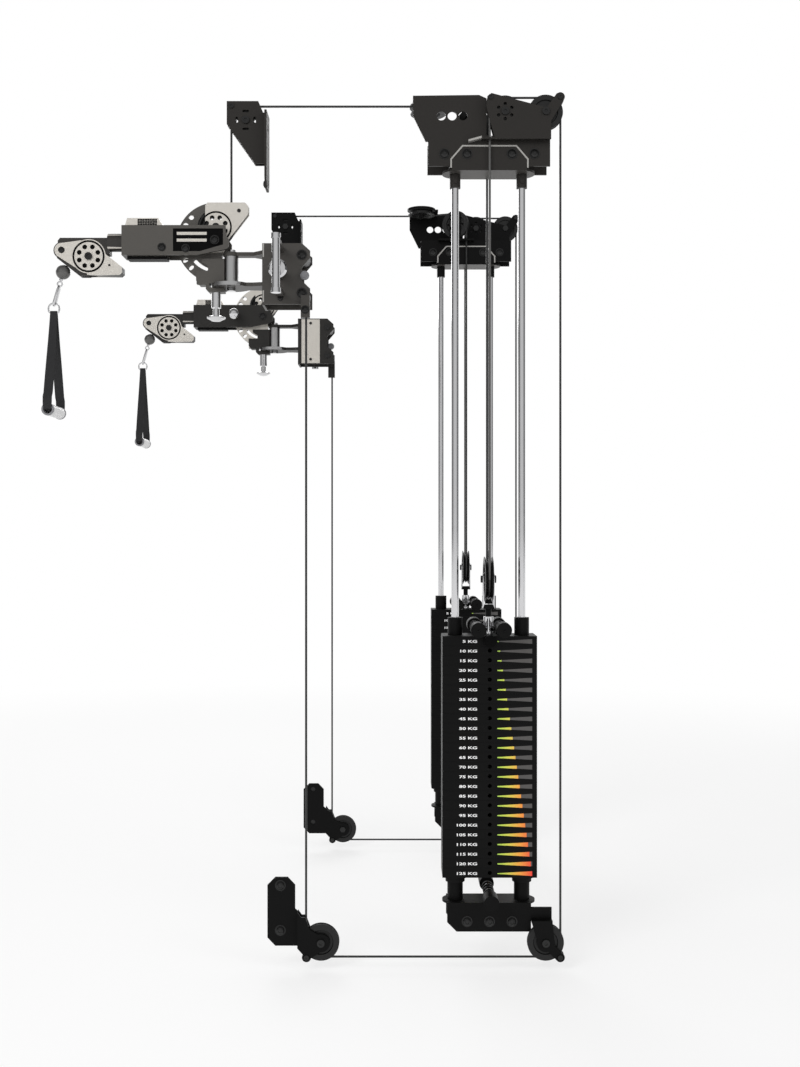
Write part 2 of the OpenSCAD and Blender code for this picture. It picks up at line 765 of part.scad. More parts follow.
module sector_outline() {
    difference() {
        union() {
            intersection() {
                translate([pivot_x, arm_z]) circle(r = sector_r);
                translate([pivot_x, arm_z]) polygon([
                    [0, 0], [0, 120], [-40, 140], [-140, 120], [-140, -130], [-53, -110], [10, -60]
                ]);
            }
            translate([pivot_x - 53, disc_z + lug_t + face_gap])
                square([body_back_x - pivot_x + 53, arm_z - disc_z - lug_t - 30]);
            disc_at(pivot_x, arm_z, 27);
        }
        disc_at(pivot_x, pivot_pulley_z, rim_r + 2);
        for (turn = lock_angles()) translate([pivot_x, arm_z]) rotate(turn)
            slot_between([lock_r - 4, 0], [lock_r, 0], stop_r + 0.3);
        for (turn = [222:4:250]) translate([pivot_x, arm_z]) rotate(turn) translate([76, 0])
            circle(r = 5.4);
    }
}

// Jaw seen from the side: it passes round the index disc and follows the curved slot above it
module jaw_outline(low) {
    foot = swivel_x - disc_r - 15;
    polygon([
        [pivot_x - 53, low + 34], [pivot_x - 53, jaw_z + 31], [pivot_x - 45, jaw_z + 19],
        [foot, jaw_z + 19], [foot, jaw_z + 8], [foot + 8, jaw_z], [swivel_x - 17, jaw_z],
        [swivel_x - 17, jaw_z + 12], [foot + 10, jaw_z + 12], [foot + 10, low], [swivel_x - 17, low],
        [swivel_x - 17, arm_z - 46], [pivot_x - 38, arm_z - 46], [pivot_x - 38, arm_z - 57],
        [pivot_x - 21, arm_z - 66], [pivot_x - 21, low + 34]
    ]);
}

module side_plate_outline() {
    difference() {
        polygon([
            [pivot_x - 29, arm_z - 29], [pivot_x - 29, arm_z + 98], [pivot_x - 23, arm_z + 106],
            [pivot_x + 78, arm_z + 106], [pivot_x + 87, arm_z + 97], [pivot_x + 87, arm_z + 76],
            [pivot_x + 30, arm_z + 2], [body_back_x, top_lug_z + lug_t + 2], [body_back_x, arm_z - 29]
        ]);
        disc_at(pivot_x, pivot_pulley_z, axle_r + run_gap);
        for (turn = [22.5:45:337.5]) translate([pivot_x, pivot_pulley_z]) rotate(turn)
            translate([27, 0]) circle(r = 6.5);
    }
}

module swivel_bracket() {
    barrel_z0 = disc_z + lug_t + face_gap;
    barrel_z1 = top_lug_z - face_gap;
    color([0.28, 0.27, 0.26]) difference() {
        union() {
            for (y = [-sector_out, sector_in]) plate_xz(y, y + sector_out - sector_in) sector_outline();
            // Web to the barrel, below the cable
            block(pivot_x - 53, swivel_x, -sector_in, sector_in, barrel_z0, barrel_z0 + 34);
            block(pivot_x + 20, swivel_x, -sector_out, sector_out, barrel_z0, arm_z - 46);
            translate([swivel_x, 0, barrel_z0]) cylinder(h = barrel_z1 - barrel_z0, r = barrel_d / 2);
            // Jaw that reaches round the index disc and holds the swivel lock
            plate_xz(-16, 16) jaw_outline(barrel_z0);
            translate([lock_pin_x, 0, jaw_z - 41]) cylinder(h = 42, r = 13);
        }
        translate([swivel_x, 0, barrel_z0 - 1]) cylinder(h = 100, r = 8 + run_gap);
        translate([lock_pin_x, 0, jaw_z - 50]) cylinder(h = 70, r = 5 + run_gap);
    }
    color([0.75, 0.73, 0.67]) for (side = [-1, 1]) {
        y = side > 0 ? sector_out : -sector_out - cheek;
        difference() {
            union() {
                plate_xz(y, y + cheek) side_plate_outline();
                rod_along_y(pivot_x, arm_z, side > 0 ? sector_out : -arm_half - 3,
                    side > 0 ? arm_half + 3 : -sector_out, pin_r);
            }
        }
    }
    color([0.1, 0.1, 0.1]) bolt_y(pivot_x, pivot_pulley_z, -sector_out - cheek, sector_out + cheek, axle_r);
}

module swivel_pin() {
    tip_z = disc_z - face_gap;
    color("silver") {
        translate([lock_pin_x, 0, jaw_z - 62]) cylinder(h = tip_z - jaw_z + 62, r = 5);
        translate([lock_pin_x, 0, jaw_z - 78]) rotate_extrude() polygon([
            [0, 0], [12, 2], [25, 9], [25, 12], [9, 17], [9, 34], [0, 34]
        ]);
    }
}

// Arm

module arm_outline() {
    polygon([
        [arm_front_x, arm_low_z], [pivot_x - 47, arm_low_z], [pivot_x + 29, arm_z - 25],
        [pivot_x + 37, arm_z - 17], [pivot_x + 37, arm_z + 2], [pivot_x + 29, arm_z + 14],
        [pivot_x + 29, arm_top_z], [arm_front_x, arm_top_z]
    ]);
}

module arm() {
    inside = arm_half - arm_wall;
    closed_x = pivot_x - sector_r - 4;
    color([0.29, 0.28, 0.27]) difference() {
        union() {
            for (y = [-arm_half, inside]) plate_xz(y, y + arm_wall) arm_outline();
            block(arm_front_x, closed_x, -inside - 0.1, inside + 0.1, arm_top_z - arm_wall, arm_top_z);
            block(arm_front_x, closed_x - 20, -inside - 0.1, inside + 0.1, arm_low_z, arm_low_z + arm_wall);
            block(arm_front_x, arm_front_x + 40, -inside - 0.1, inside + 0.1,
                arm_low_z + 1, arm_top_z - 1);
            block(arm_front_x + 12, closed_x - 20, -18, 18, arm_low_z - 8, arm_low_z + 1);
            rod_along_y(pivot_x - lock_r, arm_z, arm_half - 0.1, arm_half + 18, 11);
        }
        rod_along_x(0, arm_z, arm_front_x - 1, arm_front_x + 41, spigot_r + run_gap);
        for (y = [-arm_half, inside]) rod_along_y(pivot_x, arm_z, y - 1, y + arm_wall + 1, pin_r + run_gap);
        rod_along_y(pivot_x - lock_r, arm_z, inside - 5, arm_half + 30, stop_r + run_gap);
        // Slot for the release, and the window in the outer wall
        block(arm_front_x + 48, arm_front_x + 86, -7, 7, arm_top_z - 10, arm_top_z + 5);
        plate_xz(-arm_half - 1, -arm_half + 2.5) polygon([
            [pivot_x - 112, arm_z - 30], [pivot_x - 112, arm_z + 31], [pivot_x + 22, arm_z + 31],
            [pivot_x + 22, arm_z - 12], [pivot_x - 40, arm_z - 30]
        ]);
    }
}

module pitch_pin() {
    color("silver") {
        rod_along_y(pivot_x - lock_r, arm_z, sector_out + face_gap, arm_half + 45, stop_r);
        rod_along_y(pivot_x - lock_r, arm_z, arm_half + 22, arm_half + 36, 9);
        translate([pivot_x - lock_r, arm_half + 48, arm_z]) sphere(r = 19);
    }
}

module arm_release() {
    x0 = arm_front_x + 8;
    z0 = arm_top_z + 0.3;
    color([0.75, 0.73, 0.67]) {
        plate_xz(-arm_half + 6, arm_half - 6) polygon([
            [x0, z0], [x0 + 102, z0], [x0 + 90, z0 + 20], [x0 + 6, z0 + 20]
        ]);
        block(arm_front_x + 49, arm_front_x + 72, -6.5, 6.5, z0 - arm_wall - 4, z0 + 1);
    }
}

module arm_cable() {
    wrap = [for (k = [0:6]) [pivot_x + pulley_r * cos(15 * k), 0, pivot_pulley_z - pulley_r * sin(15 * k)]];
    steps = 4;
    bend = [for (k = [0:steps]) let (turn = 90 + k * (exit_angle - 90) / steps)
        [head_x + pulley_r * cos(turn), 0, head_z + pulley_r * sin(turn)]];
    tip = [[ball_x - exit_ux * ball_r * 0.92, 0, ball_z - exit_uz * ball_r * 0.92]];
    color([0.15, 0.15, 0.15]) swept_tube(concat(wrap, bend, tip), cable_r, [0, 0, -1], [-1, 0, 0]);
}

// Head at the end of the arm

module head_plate_shapes() {
    disc_at(ball_dx, 17, 19);
    circle(r = 46);
    polygon([[ball_dx - 6, 35], [-20, 43], [-36, -30], [ball_dx - 13, 2]]);
    polygon([[-4, -50], [84, -50], [90, -44], [90, -29], [42, 9], [0, 40]]);
}

module head_body_outline() {
    head_plate_shapes();
    disc_at(ball_dx, 17, 22.5);
    polygon([[ball_dx - 11, 26], [ball_dx - 11, 43], [ball_dx - 5, 50.6], [56, 50.6], [56, 6], [0, 0]]);
    polygon([[-86, -4], [-25, -52], [0, -52], [0, 0], [-40, 20], [-86, 17]]);
}

module head() {
    pocket = half_p + face_gap;
    wide = 14;
    color([0.28, 0.27, 0.26]) difference() {
        union() {
            translate([head_x, 0, head_z]) plate_xz(-wide, wide) head_body_outline();
            rod_along_x(0, arm_z, head_x + rim_r + 2, arm_front_x - 1.5, 24);
            rod_along_x(0, arm_z, arm_front_x - 5, arm_front_x + 60, spigot_r);
        }
        translate([head_x, 0, head_z]) {
            rod_along_y(0, 0, -pocket, pocket, rim_r + 1.2);
            block(-20, 20, -pocket, pocket, -60, -40);
            rod_along_y(0, 0, -30, 30, axle_r + run_gap);
            translate([exit_dx, 0, exit_dz]) rotate([0, atan2(exit_ux, exit_uz), 0])
                cylinder(h = 90, r = cable_r + 2);
        }
        rod_along_x(0, arm_z, head_x, arm_front_x + 70, cable_r + 2);
    }
    color([0.75, 0.73, 0.67]) translate([head_x, 0, head_z]) for (y = [-wide - cheek, wide])
        plate_xz(y, y + cheek) difference() {
            head_plate_shapes();
            circle(r = axle_r + run_gap);
            for (turn = [22.5:45:337.5]) rotate(turn) translate([27, 0]) circle(r = 6.5);
            disc_at(ball_dx, 17, 4 + run_gap);
        }
    color([0.1, 0.1, 0.1]) bolt_y(head_x, head_z, -wide - cheek, wide + cheek, axle_r);
}

// Cable end: ball, shank and hook

hook_lean = atan2(ball_x - ring_x, ball_z - ring_z);
hook_long = 62;
hook_half = 11;
ring_in = 12.5;
ring_centre = hook_r + rest_gap - ring_in;

module cable_stop() {
    color([0.35, 0.34, 0.33]) difference() {
        translate([ball_x, 0, ball_z]) sphere(r = ball_r - 0.3);
        translate([ball_x - exit_ux * ball_r * 0.9, 0, ball_z - exit_uz * ball_r * 0.9])
            rotate([0, atan2(-exit_ux, -exit_uz), 0]) cylinder(h = 20, r = cable_r + 1);
    }
    color("silver") translate([ring_x, 0, ring_z]) rotate([0, hook_lean, 0]) {
        for (z = [0, hook_long]) rod_along_y(0, z, -hook_half, hook_half, hook_r);
        for (y = [-hook_half, hook_half]) {
            translate([0, y, 0]) cylinder(h = hook_long, r = hook_r);
            for (z = [0, hook_long]) translate([0, y, z]) sphere(r = hook_r);
        }
        translate([0, 0, hook_long]) cylinder(h = norm([ball_x - ring_x, ball_z - ring_z])
            - hook_long - ball_r + 4, r = 5.5);
    }
}

// Strap handle

module strap_handle() {
    bar_z = ring_z + ring_centre - 9;
    leg_y = grip_len / 2 + 0.4;
    color("silver") translate([ring_x, 0, ring_z + ring_centre]) plate_xz(-ring_t / 2, ring_t / 2)
        difference() {
            union() {
                circle(r = ring_in + 4.5);
                translate([-ring_in - 4.5, -13]) square([2 * ring_in + 9, 13]);
            }
            circle(r = ring_in);
            translate([-ring_in, -8.5]) square([2 * ring_in, 8.5]);
            translate([-30, -50]) square([60, 37]);
        }
    color([0.1, 0.1, 0.1]) {
        for (side = [0, 1]) mirror([0, side, 0]) translate([ring_x - web_w / 2, 0, 0])
            rotate([90, 0, 90]) linear_extrude(web_w) polygon([
                [0, bar_z - 4.3], [0, bar_z - 4.3 - web_t * 2], [leg_y, grip_z + grip_r],
                [leg_y, grip_z - web_t / 2], [leg_y + web_t, grip_z - web_t / 2],
                [leg_y + web_t, grip_z + grip_r + 6], [5.5, bar_z + 1], [2.8, bar_z + 1], [2.8, bar_z - 4.3]
            ]);
        block(ring_x - 11, ring_x + 11, -leg_y - 0.1, leg_y + 0.1, grip_z - web_t / 2, grip_z + web_t / 2);
    }
    color([0.85, 0.85, 0.85]) difference() {
        union() {
            rod_along_y(ring_x, grip_z, -grip_len / 2, grip_len / 2, grip_r);
            for (y = [-grip_len / 2, grip_len / 2 - 8]) rod_along_y(ring_x, grip_z, y, y + 8, grip_r + 1);
        }
        rod_along_y(ring_x, grip_z, -grip_len, grip_len, grip_r - 4);
    }
}

// Cables: a tube of eight sides swept along points, kept from twisting from ring to ring

function unit(v) = v / norm(v);

function tangent(p, i) =
    i == 0 ? unit(p[1] - p[0]) :
    i == len(p) - 1 ? unit(p[i] - p[i - 1]) :
    unit(unit(p[i + 1] - p[i]) + unit(p[i] - p[i - 1]));

function carried(n, t) = unit(n - t * (n * t));

function side_vectors(p, first) = [
    for (i = 0, n = carried([0, 1, 0], first); i < len(p);
        i = i + 1, n = i < len(p) ? carried(n, tangent(p, i)) : n) n
];

module swept_tube(p, r, first, last) {
    sides = 8;
    count = len(p);
    normals = side_vectors(p, first);
    points = [
        for (i = [0:count - 1])
            let (t = i == 0 ? first : i == count - 1 ? last == [-1, 0, 0] ? tangent(p, i) : last : tangent(p, i))
            let (n = carried(normals[i], t), b = cross(t, n))
            for (k = [0:sides - 1]) p[i] + r * (cos(45 * k) * n + sin(45 * k) * b)
    ];
    walls = [
        for (i = [0:count - 2], k = [0:sides - 1])
            let (a = i * sides + k, b = i * sides + (k + 1) % sides)
            each [[a, b, b + sides], [a, b + sides, a + sides]]
    ];
    ends = [
        for (k = [1:sides - 2]) each [
            [0, k + 1, k],
            [(count - 1) * sides, (count - 1) * sides + k, (count - 1) * sides + k + 1]
        ]
    ];
    polyhedron(points, concat(walls, ends));
}

function arc_xz(x, y, z, r, from, to) = [
    for (k = [0:6]) let (turn = from + (to - from) * k / 6) [x + r * cos(turn), y, z + r * sin(turn)]
];

module long_cable() {
    drop = [for (k = [0:6]) let (turn = 90 - 15 * k, out = pulley_r * cos(turn))
        [drop_x + out * cos(turn_in), drop_y + out * sin(turn_in), front_top_z + pulley_r * sin(turn)]];
    idler = [for (k = [0:2]) let (turn = -90 + k * turn_in / 2)
        [idler_x + pulley_r * cos(turn), idler_y + pulley_r * sin(turn), front_line_z]];
    loop = [for (k = [0:12]) let (turn = -15 * k) [0, lift_r * cos(turn), lift_z + lift_r * sin(turn)]];
    color([0.15, 0.15, 0.15]) swept_tube(concat(
        [[swivel_x, 0, pivot_pulley_z]],
        arc_xz(front_top_x, 0, front_top_z, pulley_r, 180, 90),
        idler, drop, loop,
        arc_xz(lift_top_x, -run_y, rear_z, pulley_r, 180, 90),
        arc_xz(rear_top_x, -run_y, rear_z, pulley_r, 90, 0),
        arc_xz(rear_top_x, -run_y, base_z, pulley_r, 0, -90),
        arc_xz(front_base_x, -run_y, base_z, pulley_r, 270, 180),
        [[front_run_x, -run_y, trolley_z - 38]]
    ), cable_r, [0, 0, 1], [0, 0, 1]);
}

// Pulleys, each on the axle of its bracket

module floating_pulley() {
    color([0.08, 0.08, 0.08]) translate([0, 0, lift_z]) rotate([90, 0, 90])
        pulley(lift_r, 6, lift_half);
}

module front_top_pulley() {
    color([0.08, 0.08, 0.08]) pulley_at(front_top_x, 0, front_top_z);
}

module idler_pulley() {
    color([0.08, 0.08, 0.08]) translate([idler_x, idler_y, front_line_z]) pulley(pulley_r);
}

module drop_pulley() {
    color([0.08, 0.08, 0.08]) drop_frame() pulley_at(0, 0, front_top_z);
}

module lift_pulley() {
    color([0.08, 0.08, 0.08]) pulley_at(lift_top_x, -run_y, rear_z, 0, 4);
}

module rear_top_pulley() {
    color([0.08, 0.08, 0.08]) pulley_at(rear_top_x, -run_y, rear_z, 0, 6);
}

module rear_base_pulley() {
    color([0.08, 0.08, 0.08]) pulley_at(rear_top_x, -run_y, base_z, 0);
}

module front_base_pulley() {
    color([0.08, 0.08, 0.08]) pulley_at(front_base_x, -run_y, base_z, 0);
}

module pivot_pulley() {
    color([0.08, 0.08, 0.08]) pulley_at(pivot_x, 0, pivot_pulley_z);
}

module head_pulley() {
    color([0.08, 0.08, 0.08]) pulley_at(head_x, 0, head_z);
}

on_both() top_housing();  // top_housings
on_both() rod_support();  // rod_supports
on_both() front_top_bracket();  // front_top_brackets
on_both() base_bracket();  // base_brackets
on_both() front_base_bracket();  // front_base_brackets
on_both() guide_rod_pair();  // guide_rods
on_both() resting_weights();
on_both() bumper_pair();  // rubber_bumpers
on_both() axle_set();  // pulley_axles
on_both() long_cable();  // long_cables
on_right() trolley();  // right_trolley
on_right() height_pin();  // right_height_pin
on_right() swivel_bracket();  // right_swivel_bracket
on_right() swivel_pin();  // right_swivel_pin
on_right() arm();  // right_arm
on_right() pitch_pin();  // right_pitch_pin
on_right() arm_release();  // right_arm_release
on_right() head();  // right_head
on_right() cable_stop();  // right_cable_stop
on_right() strap_handle();  // right_strap_handle
on_right() top_plate();  // right_top_plate
on_right() selector_rod();  // right_selector_rod
on_right() selector_pin();  // right_selector_pin
on_right() add_on_weights();  // right_add_on_weights
on_right() arm_cable();  // right_arm_cable
on_right() floating_pulley();  // right_floating_pulley
on_right() front_top_pulley();  // right_front_top_pulley
on_right() idler_pulley();  // right_idler_pulley
on_right() drop_pulley();  // right_drop_pulley
on_right() lift_pulley();  // right_lift_pulley
on_right() rear_top_pulley();  // right_rear_top_pulley
on_right() rear_base_pulley();  // right_rear_base_pulley
on_right() front_base_pulley();  // right_front_base_pulley
on_right() pivot_pulley();  // right_pivot_pulley
on_right() head_pulley();  // right_head_pulley
on_left() trolley();  // left_trolley
on_left() height_pin();  // left_height_pin
on_left() swivel_bracket();  // left_swivel_bracket
on_left() swivel_pin();  // left_swivel_pin
on_left() arm();  // left_arm
on_left() pitch_pin();  // left_pitch_pin
on_left() arm_release();  // left_arm_release
on_left() head();  // left_head
on_left() cable_stop();  // left_cable_stop
on_left() strap_handle();  // left_strap_handle
on_left() top_plate();  // left_top_plate
on_left() selector_rod();  // left_selector_rod
on_left() selector_pin();  // left_selector_pin
on_left() add_on_weights();  // left_add_on_weights
on_left() arm_cable();  // left_arm_cable
on_left() floating_pulley();  // left_floating_pulley
on_left() front_top_pulley();  // left_front_top_pulley
on_left() idler_pulley();  // left_idler_pulley
on_left() drop_pulley();  // left_drop_pulley
on_left() lift_pulley();  // left_lift_pulley
on_left() rear_top_pulley();  // left_rear_top_pulley
on_left() rear_base_pulley();  // left_rear_base_pulley
on_left() front_base_pulley();  // left_front_base_pulley
on_left() pivot_pulley();  // left_pivot_pulley
on_left() head_pulley();  // left_head_pulley
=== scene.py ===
"""Looks of the paired cable pulley columns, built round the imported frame.
Lengths inside the helpers are millimetres of one unit: x from the middle of its weight stack,
y from the middle plane of the rack tubes with the outer side at minus, z above the floor."""
import math
import bmesh
import bpy
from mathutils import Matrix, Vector


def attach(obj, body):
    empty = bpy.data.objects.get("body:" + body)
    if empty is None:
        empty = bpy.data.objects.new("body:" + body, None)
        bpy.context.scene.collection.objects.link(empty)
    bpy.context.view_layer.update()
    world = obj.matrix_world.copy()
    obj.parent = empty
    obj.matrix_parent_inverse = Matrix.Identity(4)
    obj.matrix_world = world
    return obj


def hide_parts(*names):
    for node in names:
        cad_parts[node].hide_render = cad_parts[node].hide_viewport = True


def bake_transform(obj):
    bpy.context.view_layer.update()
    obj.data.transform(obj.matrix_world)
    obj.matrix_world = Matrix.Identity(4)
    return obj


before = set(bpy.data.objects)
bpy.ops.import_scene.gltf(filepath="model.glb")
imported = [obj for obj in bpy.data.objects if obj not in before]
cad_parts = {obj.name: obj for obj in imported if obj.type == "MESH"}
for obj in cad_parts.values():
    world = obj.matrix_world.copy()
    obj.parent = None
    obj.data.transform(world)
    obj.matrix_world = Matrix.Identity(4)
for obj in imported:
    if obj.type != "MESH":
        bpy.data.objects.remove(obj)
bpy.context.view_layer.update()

SIDES = ("right", "left")

# Sizes that the part's source sets
HALF_GAP = 582.5
HALF_W, SHEET, CHEEK, FACE_GAP, REST_GAP = 37.5, 6.0, 4.0, 0.5, 0.35
POST_X, BEAM_HIGH_Z, BEAM_LOW_Z, BEAM_PITCH = -558.5, 2136.0, 93.0, 60.0
CABLE_R, PULLEY_R, HALF_P, RIM_OVER, LIFT_R = 3.0, 40.0, 8.0, 8.5, 52.0
FRONT_LINE_Z, REAR_LINE_Z, FLOOR_LINE_Z = 2314.5, 2320.0, 33.4
REAR_RUN_X, TROLLEY_RUN, TURN_DEG = 188.0, 69.5, 18.5
PLATE_COUNT, PLATE_T, PLATE_HALF_Y, STACK_Z = 25, 25.4, 52.5, 243.3
TROLLEY_Z, TROLLEY_T, SLIDE_GAP = 1772.0, 5.0, 2.0
ARM_Z, ARM_HALF, SWIVEL_OUT, HEAD_OUT, BARREL_R = 1946.0, 34.0, 99.0, 342.0, 19.0
GRIP_R, GRIP_HALF, STRAP_DROP = 16.0, 62.0, 286.0

# Places worked out from them
SHEET_Y = HALF_W + SHEET
TROLLEY_Y = HALF_W + SLIDE_GAP + TROLLEY_T
POST_FACE_X = POST_X - HALF_W
SWIVEL_X = POST_FACE_X - SWIVEL_OUT
PIVOT_X = SWIVEL_X - PULLEY_R
PIVOT_PULLEY_Z = ARM_Z + PULLEY_R
HEAD_X, HEAD_Z = PIVOT_X - HEAD_OUT, ARM_Z - PULLEY_R
FRONT_TOP_X, FRONT_TOP_Z = SWIVEL_X + PULLEY_R, FRONT_LINE_Z - PULLEY_R
REAR_X, REAR_Z, BASE_Z = REAR_RUN_X - PULLEY_R, REAR_LINE_Z - PULLEY_R, FLOOR_LINE_Z + PULLEY_R
FRONT_BASE_X = POST_X + TROLLEY_RUN + PULLEY_R
PLATE_PITCH = PLATE_T + REST_GAP
STACK_TOP_Z = STACK_Z + (PLATE_COUNT - 1) * PLATE_PITCH + PLATE_T
LIFT_Z = STACK_TOP_Z + 150
ROLLER_X, ROLLER_ZS = POST_X + HALF_W + 20, (TROLLEY_Z + 30, TROLLEY_Z + 132)
DISC_Z, LUG_T, TOP_LUG_Z = TROLLEY_Z + 51, 10.0, TROLLEY_Z + 136
JAW_Z = DISC_Z - FACE_GAP - 12
BALL = Vector((HEAD_X - 73, 0, HEAD_Z - 39.4))
RING = BALL + Vector((-25, 0, -90))
GRIP_Z = RING.z - STRAP_DROP
GUARD_OUT = (PULLEY_R + RIM_OVER + 5.5) * math.cos(math.radians(45)) + 12
LOWEST = BASE_Z - GUARD_OUT
MID_X = (RING.x - GRIP_R - 1 + REAR_X + GUARD_OUT) / 2


def at(side, x, y, z):
    """A point of one unit, in the row frame and in metres."""
    sign = 1 if side == "right" else -1
    return Vector(((x - MID_X) / 1000, sign * (y - HALF_GAP) / 1000, (z - LOWEST) / 1000))


# Materials

def node_at(tree, kind, **inputs):
    node = tree.nodes.new(kind)
    for key, value in inputs.items():
        node.inputs[key.replace("_", " ")].default_value = value
    return node


def material(name, color, rough=0.5, metal=0.0, grain=40.0, spread=0.06, bump=0.0,
             stretch=(1, 1, 1), shine=0.5):
    """A plain surface whose tone and roughness vary a little by noise, brushed where it is stretched."""
    mat = bpy.data.materials.new(name)
    mat.use_nodes = True
    tree = mat.node_tree
    shader = tree.nodes["Principled BSDF"]
    shader.inputs["Metallic"].default_value = metal
    shader.inputs["Specular IOR Level"].default_value = shine
    place = tree.nodes.new("ShaderNodeTexCoord")
    scale = node_at(tree, "ShaderNodeMapping", Scale=stretch)
    noise = node_at(tree, "ShaderNodeTexNoise", Scale=grain, Detail=3.0)
    tree.links.new(place.outputs["Object"], scale.inputs["Vector"])
    tree.links.new(scale.outputs["Vector"], noise.inputs["Vector"])
    tone = node_at(tree, "ShaderNodeMapRange", To_Min=1 - spread, To_Max=1 + spread)
    tree.links.new(noise.outputs["Fac"], tone.inputs["Value"])
    mix = tree.nodes.new("ShaderNodeVectorMath")
    mix.operation = "SCALE"
    mix.inputs[0].default_value = color
    tree.links.new(tone.outputs["Result"], mix.inputs["Scale"])
    tree.links.new(mix.outputs["Vector"], shader.inputs["Base Color"])
    dull = node_at(tree, "ShaderNodeMapRange", To_Min=max(0.02, rough - 0.05), To_Max=min(1, rough + 0.05))
    tree.links.new(noise.outputs["Fac"], dull.inputs["Value"])
    tree.links.new(dull.outputs["Result"], shader.inputs["Roughness"])
    if bump:
        relief = node_at(tree, "ShaderNodeBump", Strength=bump, Distance=0.0005)
        tree.links.new(noise.outputs["Fac"], relief.inputs["Height"])
        tree.links.new(relief.outputs["Normal"], shader.inputs["Normal"])
    return mat


def web_material():
    """Black webbing with a diagonal weave."""
    mat = material("webbing", (0.018, 0.018, 0.019), 0.85, grain=60)
    tree = mat.node_tree
    wave = node_at(tree, "ShaderNodeTexWave", Scale=180.0, Distortion=0.4)
    wave.bands_direction = "DIAGONAL"
    place = tree.nodes.new("ShaderNodeTexCoord")
    relief = node_at(tree, "ShaderNodeBump", Strength=0.6, Distance=0.0006)
    tree.links.new(place.outputs["Object"], wave.inputs["Vector"])
    tree.links.new(wave.outputs["Fac"], relief.inputs["Height"])
    tree.links.new(relief.outputs["Normal"], tree.nodes["Principled BSDF"].inputs["Normal"])
    return mat


GAUGE_X = 20.4
GAUGE_LEN = 92.5


def gauge_material(name, sign):
    """Green to red along the gauge bar, measured from its narrow end."""
    mat = bpy.data.materials.new(name)
    mat.use_nodes = True
    tree = mat.node_tree
    place = tree.nodes.new("ShaderNodeTexCoord")
    split = tree.nodes.new("ShaderNodeSeparateXYZ")
    narrow, wide = [(sign * x - MID_X) / 1000 for x in (GAUGE_X, GAUGE_X + GAUGE_LEN)]
    span = node_at(tree, "ShaderNodeMapRange", From_Min=narrow, From_Max=wide)
    ramp = tree.nodes.new("ShaderNodeValToRGB")
    ramp.color_ramp.elements[0].color = (0.38, 0.62, 0.08, 1)
    ramp.color_ramp.elements[1].color = (0.85, 0.04, 0.03, 1)
    for spot, color in ((0.3, (0.62, 0.6, 0.08, 1)), (0.62, (0.85, 0.36, 0.05, 1))):
        ramp.color_ramp.elements.new(spot).color = color
    tree.links.new(place.outputs["Object"], split.inputs["Vector"])
    tree.links.new(split.outputs["X"], span.inputs["Value"])
    tree.links.new(span.outputs["Result"], ramp.inputs["Fac"])
    tree.links.new(ramp.outputs["Color"], tree.nodes["Principled BSDF"].inputs["Base Color"])
    tree.nodes["Principled BSDF"].inputs["Roughness"].default_value = 0.5
    return mat


charcoal = material("charcoal_paint", (0.0215, 0.0198, 0.0182), 0.42, 0, 900, 0.12, 0.15, shine=0.16)
# Black paint, also laid on the far unit's housings, supports and brackets as painted shade
black = material("black_paint_and_far_shade", (0.0035, 0.0035, 0.0035), 0.45, 0, 900, 0.12, 0.15, shine=0.1)
arm_dark = material("arm_paint", (0.066, 0.0618, 0.056), 0.4, 0, 700, 0.1, 0.12, shine=0.3)
# The trolley's own paint, also laid on the rod supports' undersides as painted light
trolley_paint_and_lit_underside = material("trolley_and_underside_painted_light", (0.050, 0.0465, 0.0425), 0.4, 0, 700, 0.1, 0.12, shine=0.3)
head_dark = material("head_paint", (0.028, 0.026, 0.024), 0.4, 0, 700, 0.1, 0.12, shine=0.3)
# One darker paint for all of the far unit's moving pieces: painted shade
far_painted_shade = material("far_unit_painted_shade", (0.020, 0.0192, 0.018), 0.4, 0, 700, 0.1, 0.12, shine=0.2)
champagne = material("champagne_plate", (0.63, 0.60, 0.55), 0.34, 0.6, 60, 0.07, 0.05, (1, 1, 30))
chrome = material("chrome", (0.66, 0.66, 0.67), 0.12, 1.0, 30, 0.02)
brushed = material("brushed_steel", (0.48, 0.48, 0.48), 0.3, 1.0, 60, 0.06, 0.05, (1, 1, 20))
iron = material("stack_black", (0.0035, 0.0035, 0.0035), 0.42, 0, 500, 0.2, 0.2, shine=0.1)
rubber = material("rubber", (0.007, 0.007, 0.007), 0.7, 0, 300, 0.15, 0.1, shine=0.15)
plastic = material("pulley_plastic", (0.010, 0.010, 0.010), 0.35, 0, 200, 0.1, shine=0.3)
bolt_black = material("bolt_black", (0.010, 0.010, 0.010), 0.28, 0.3, 300, 0.1)
cable_mat = material("cable_jacket", (0.020, 0.020, 0.020), 0.32, 0, 300, 0.1, shine=0.4)
# A lighter jacket on the same cable for the run in front: painted light
cable_painted_light = material("cable_front_painted_light", (0.075, 0.074, 0.072), 0.32, 0, 300, 0.1, shine=0.5)
ball_mat = material("ball_grey", (0.12, 0.118, 0.115), 0.27, 0.6, 80, 0.08)
grip_mat = material("grip_silver", (0.66, 0.66, 0.66), 0.38, 0.3, 60, 0.05)
ring_mat = material("grip_ring", (0.20, 0.20, 0.21), 0.42, 0.2, 80, 0.06)
# Flat black for dark plastic parts, and for the arm's window recess and the head's holes as painted shade
pit = material("black_plastic_and_painted_shade", (0.002, 0.002, 0.002), 0.7, 0, 200, 0.1, shine=0.1)
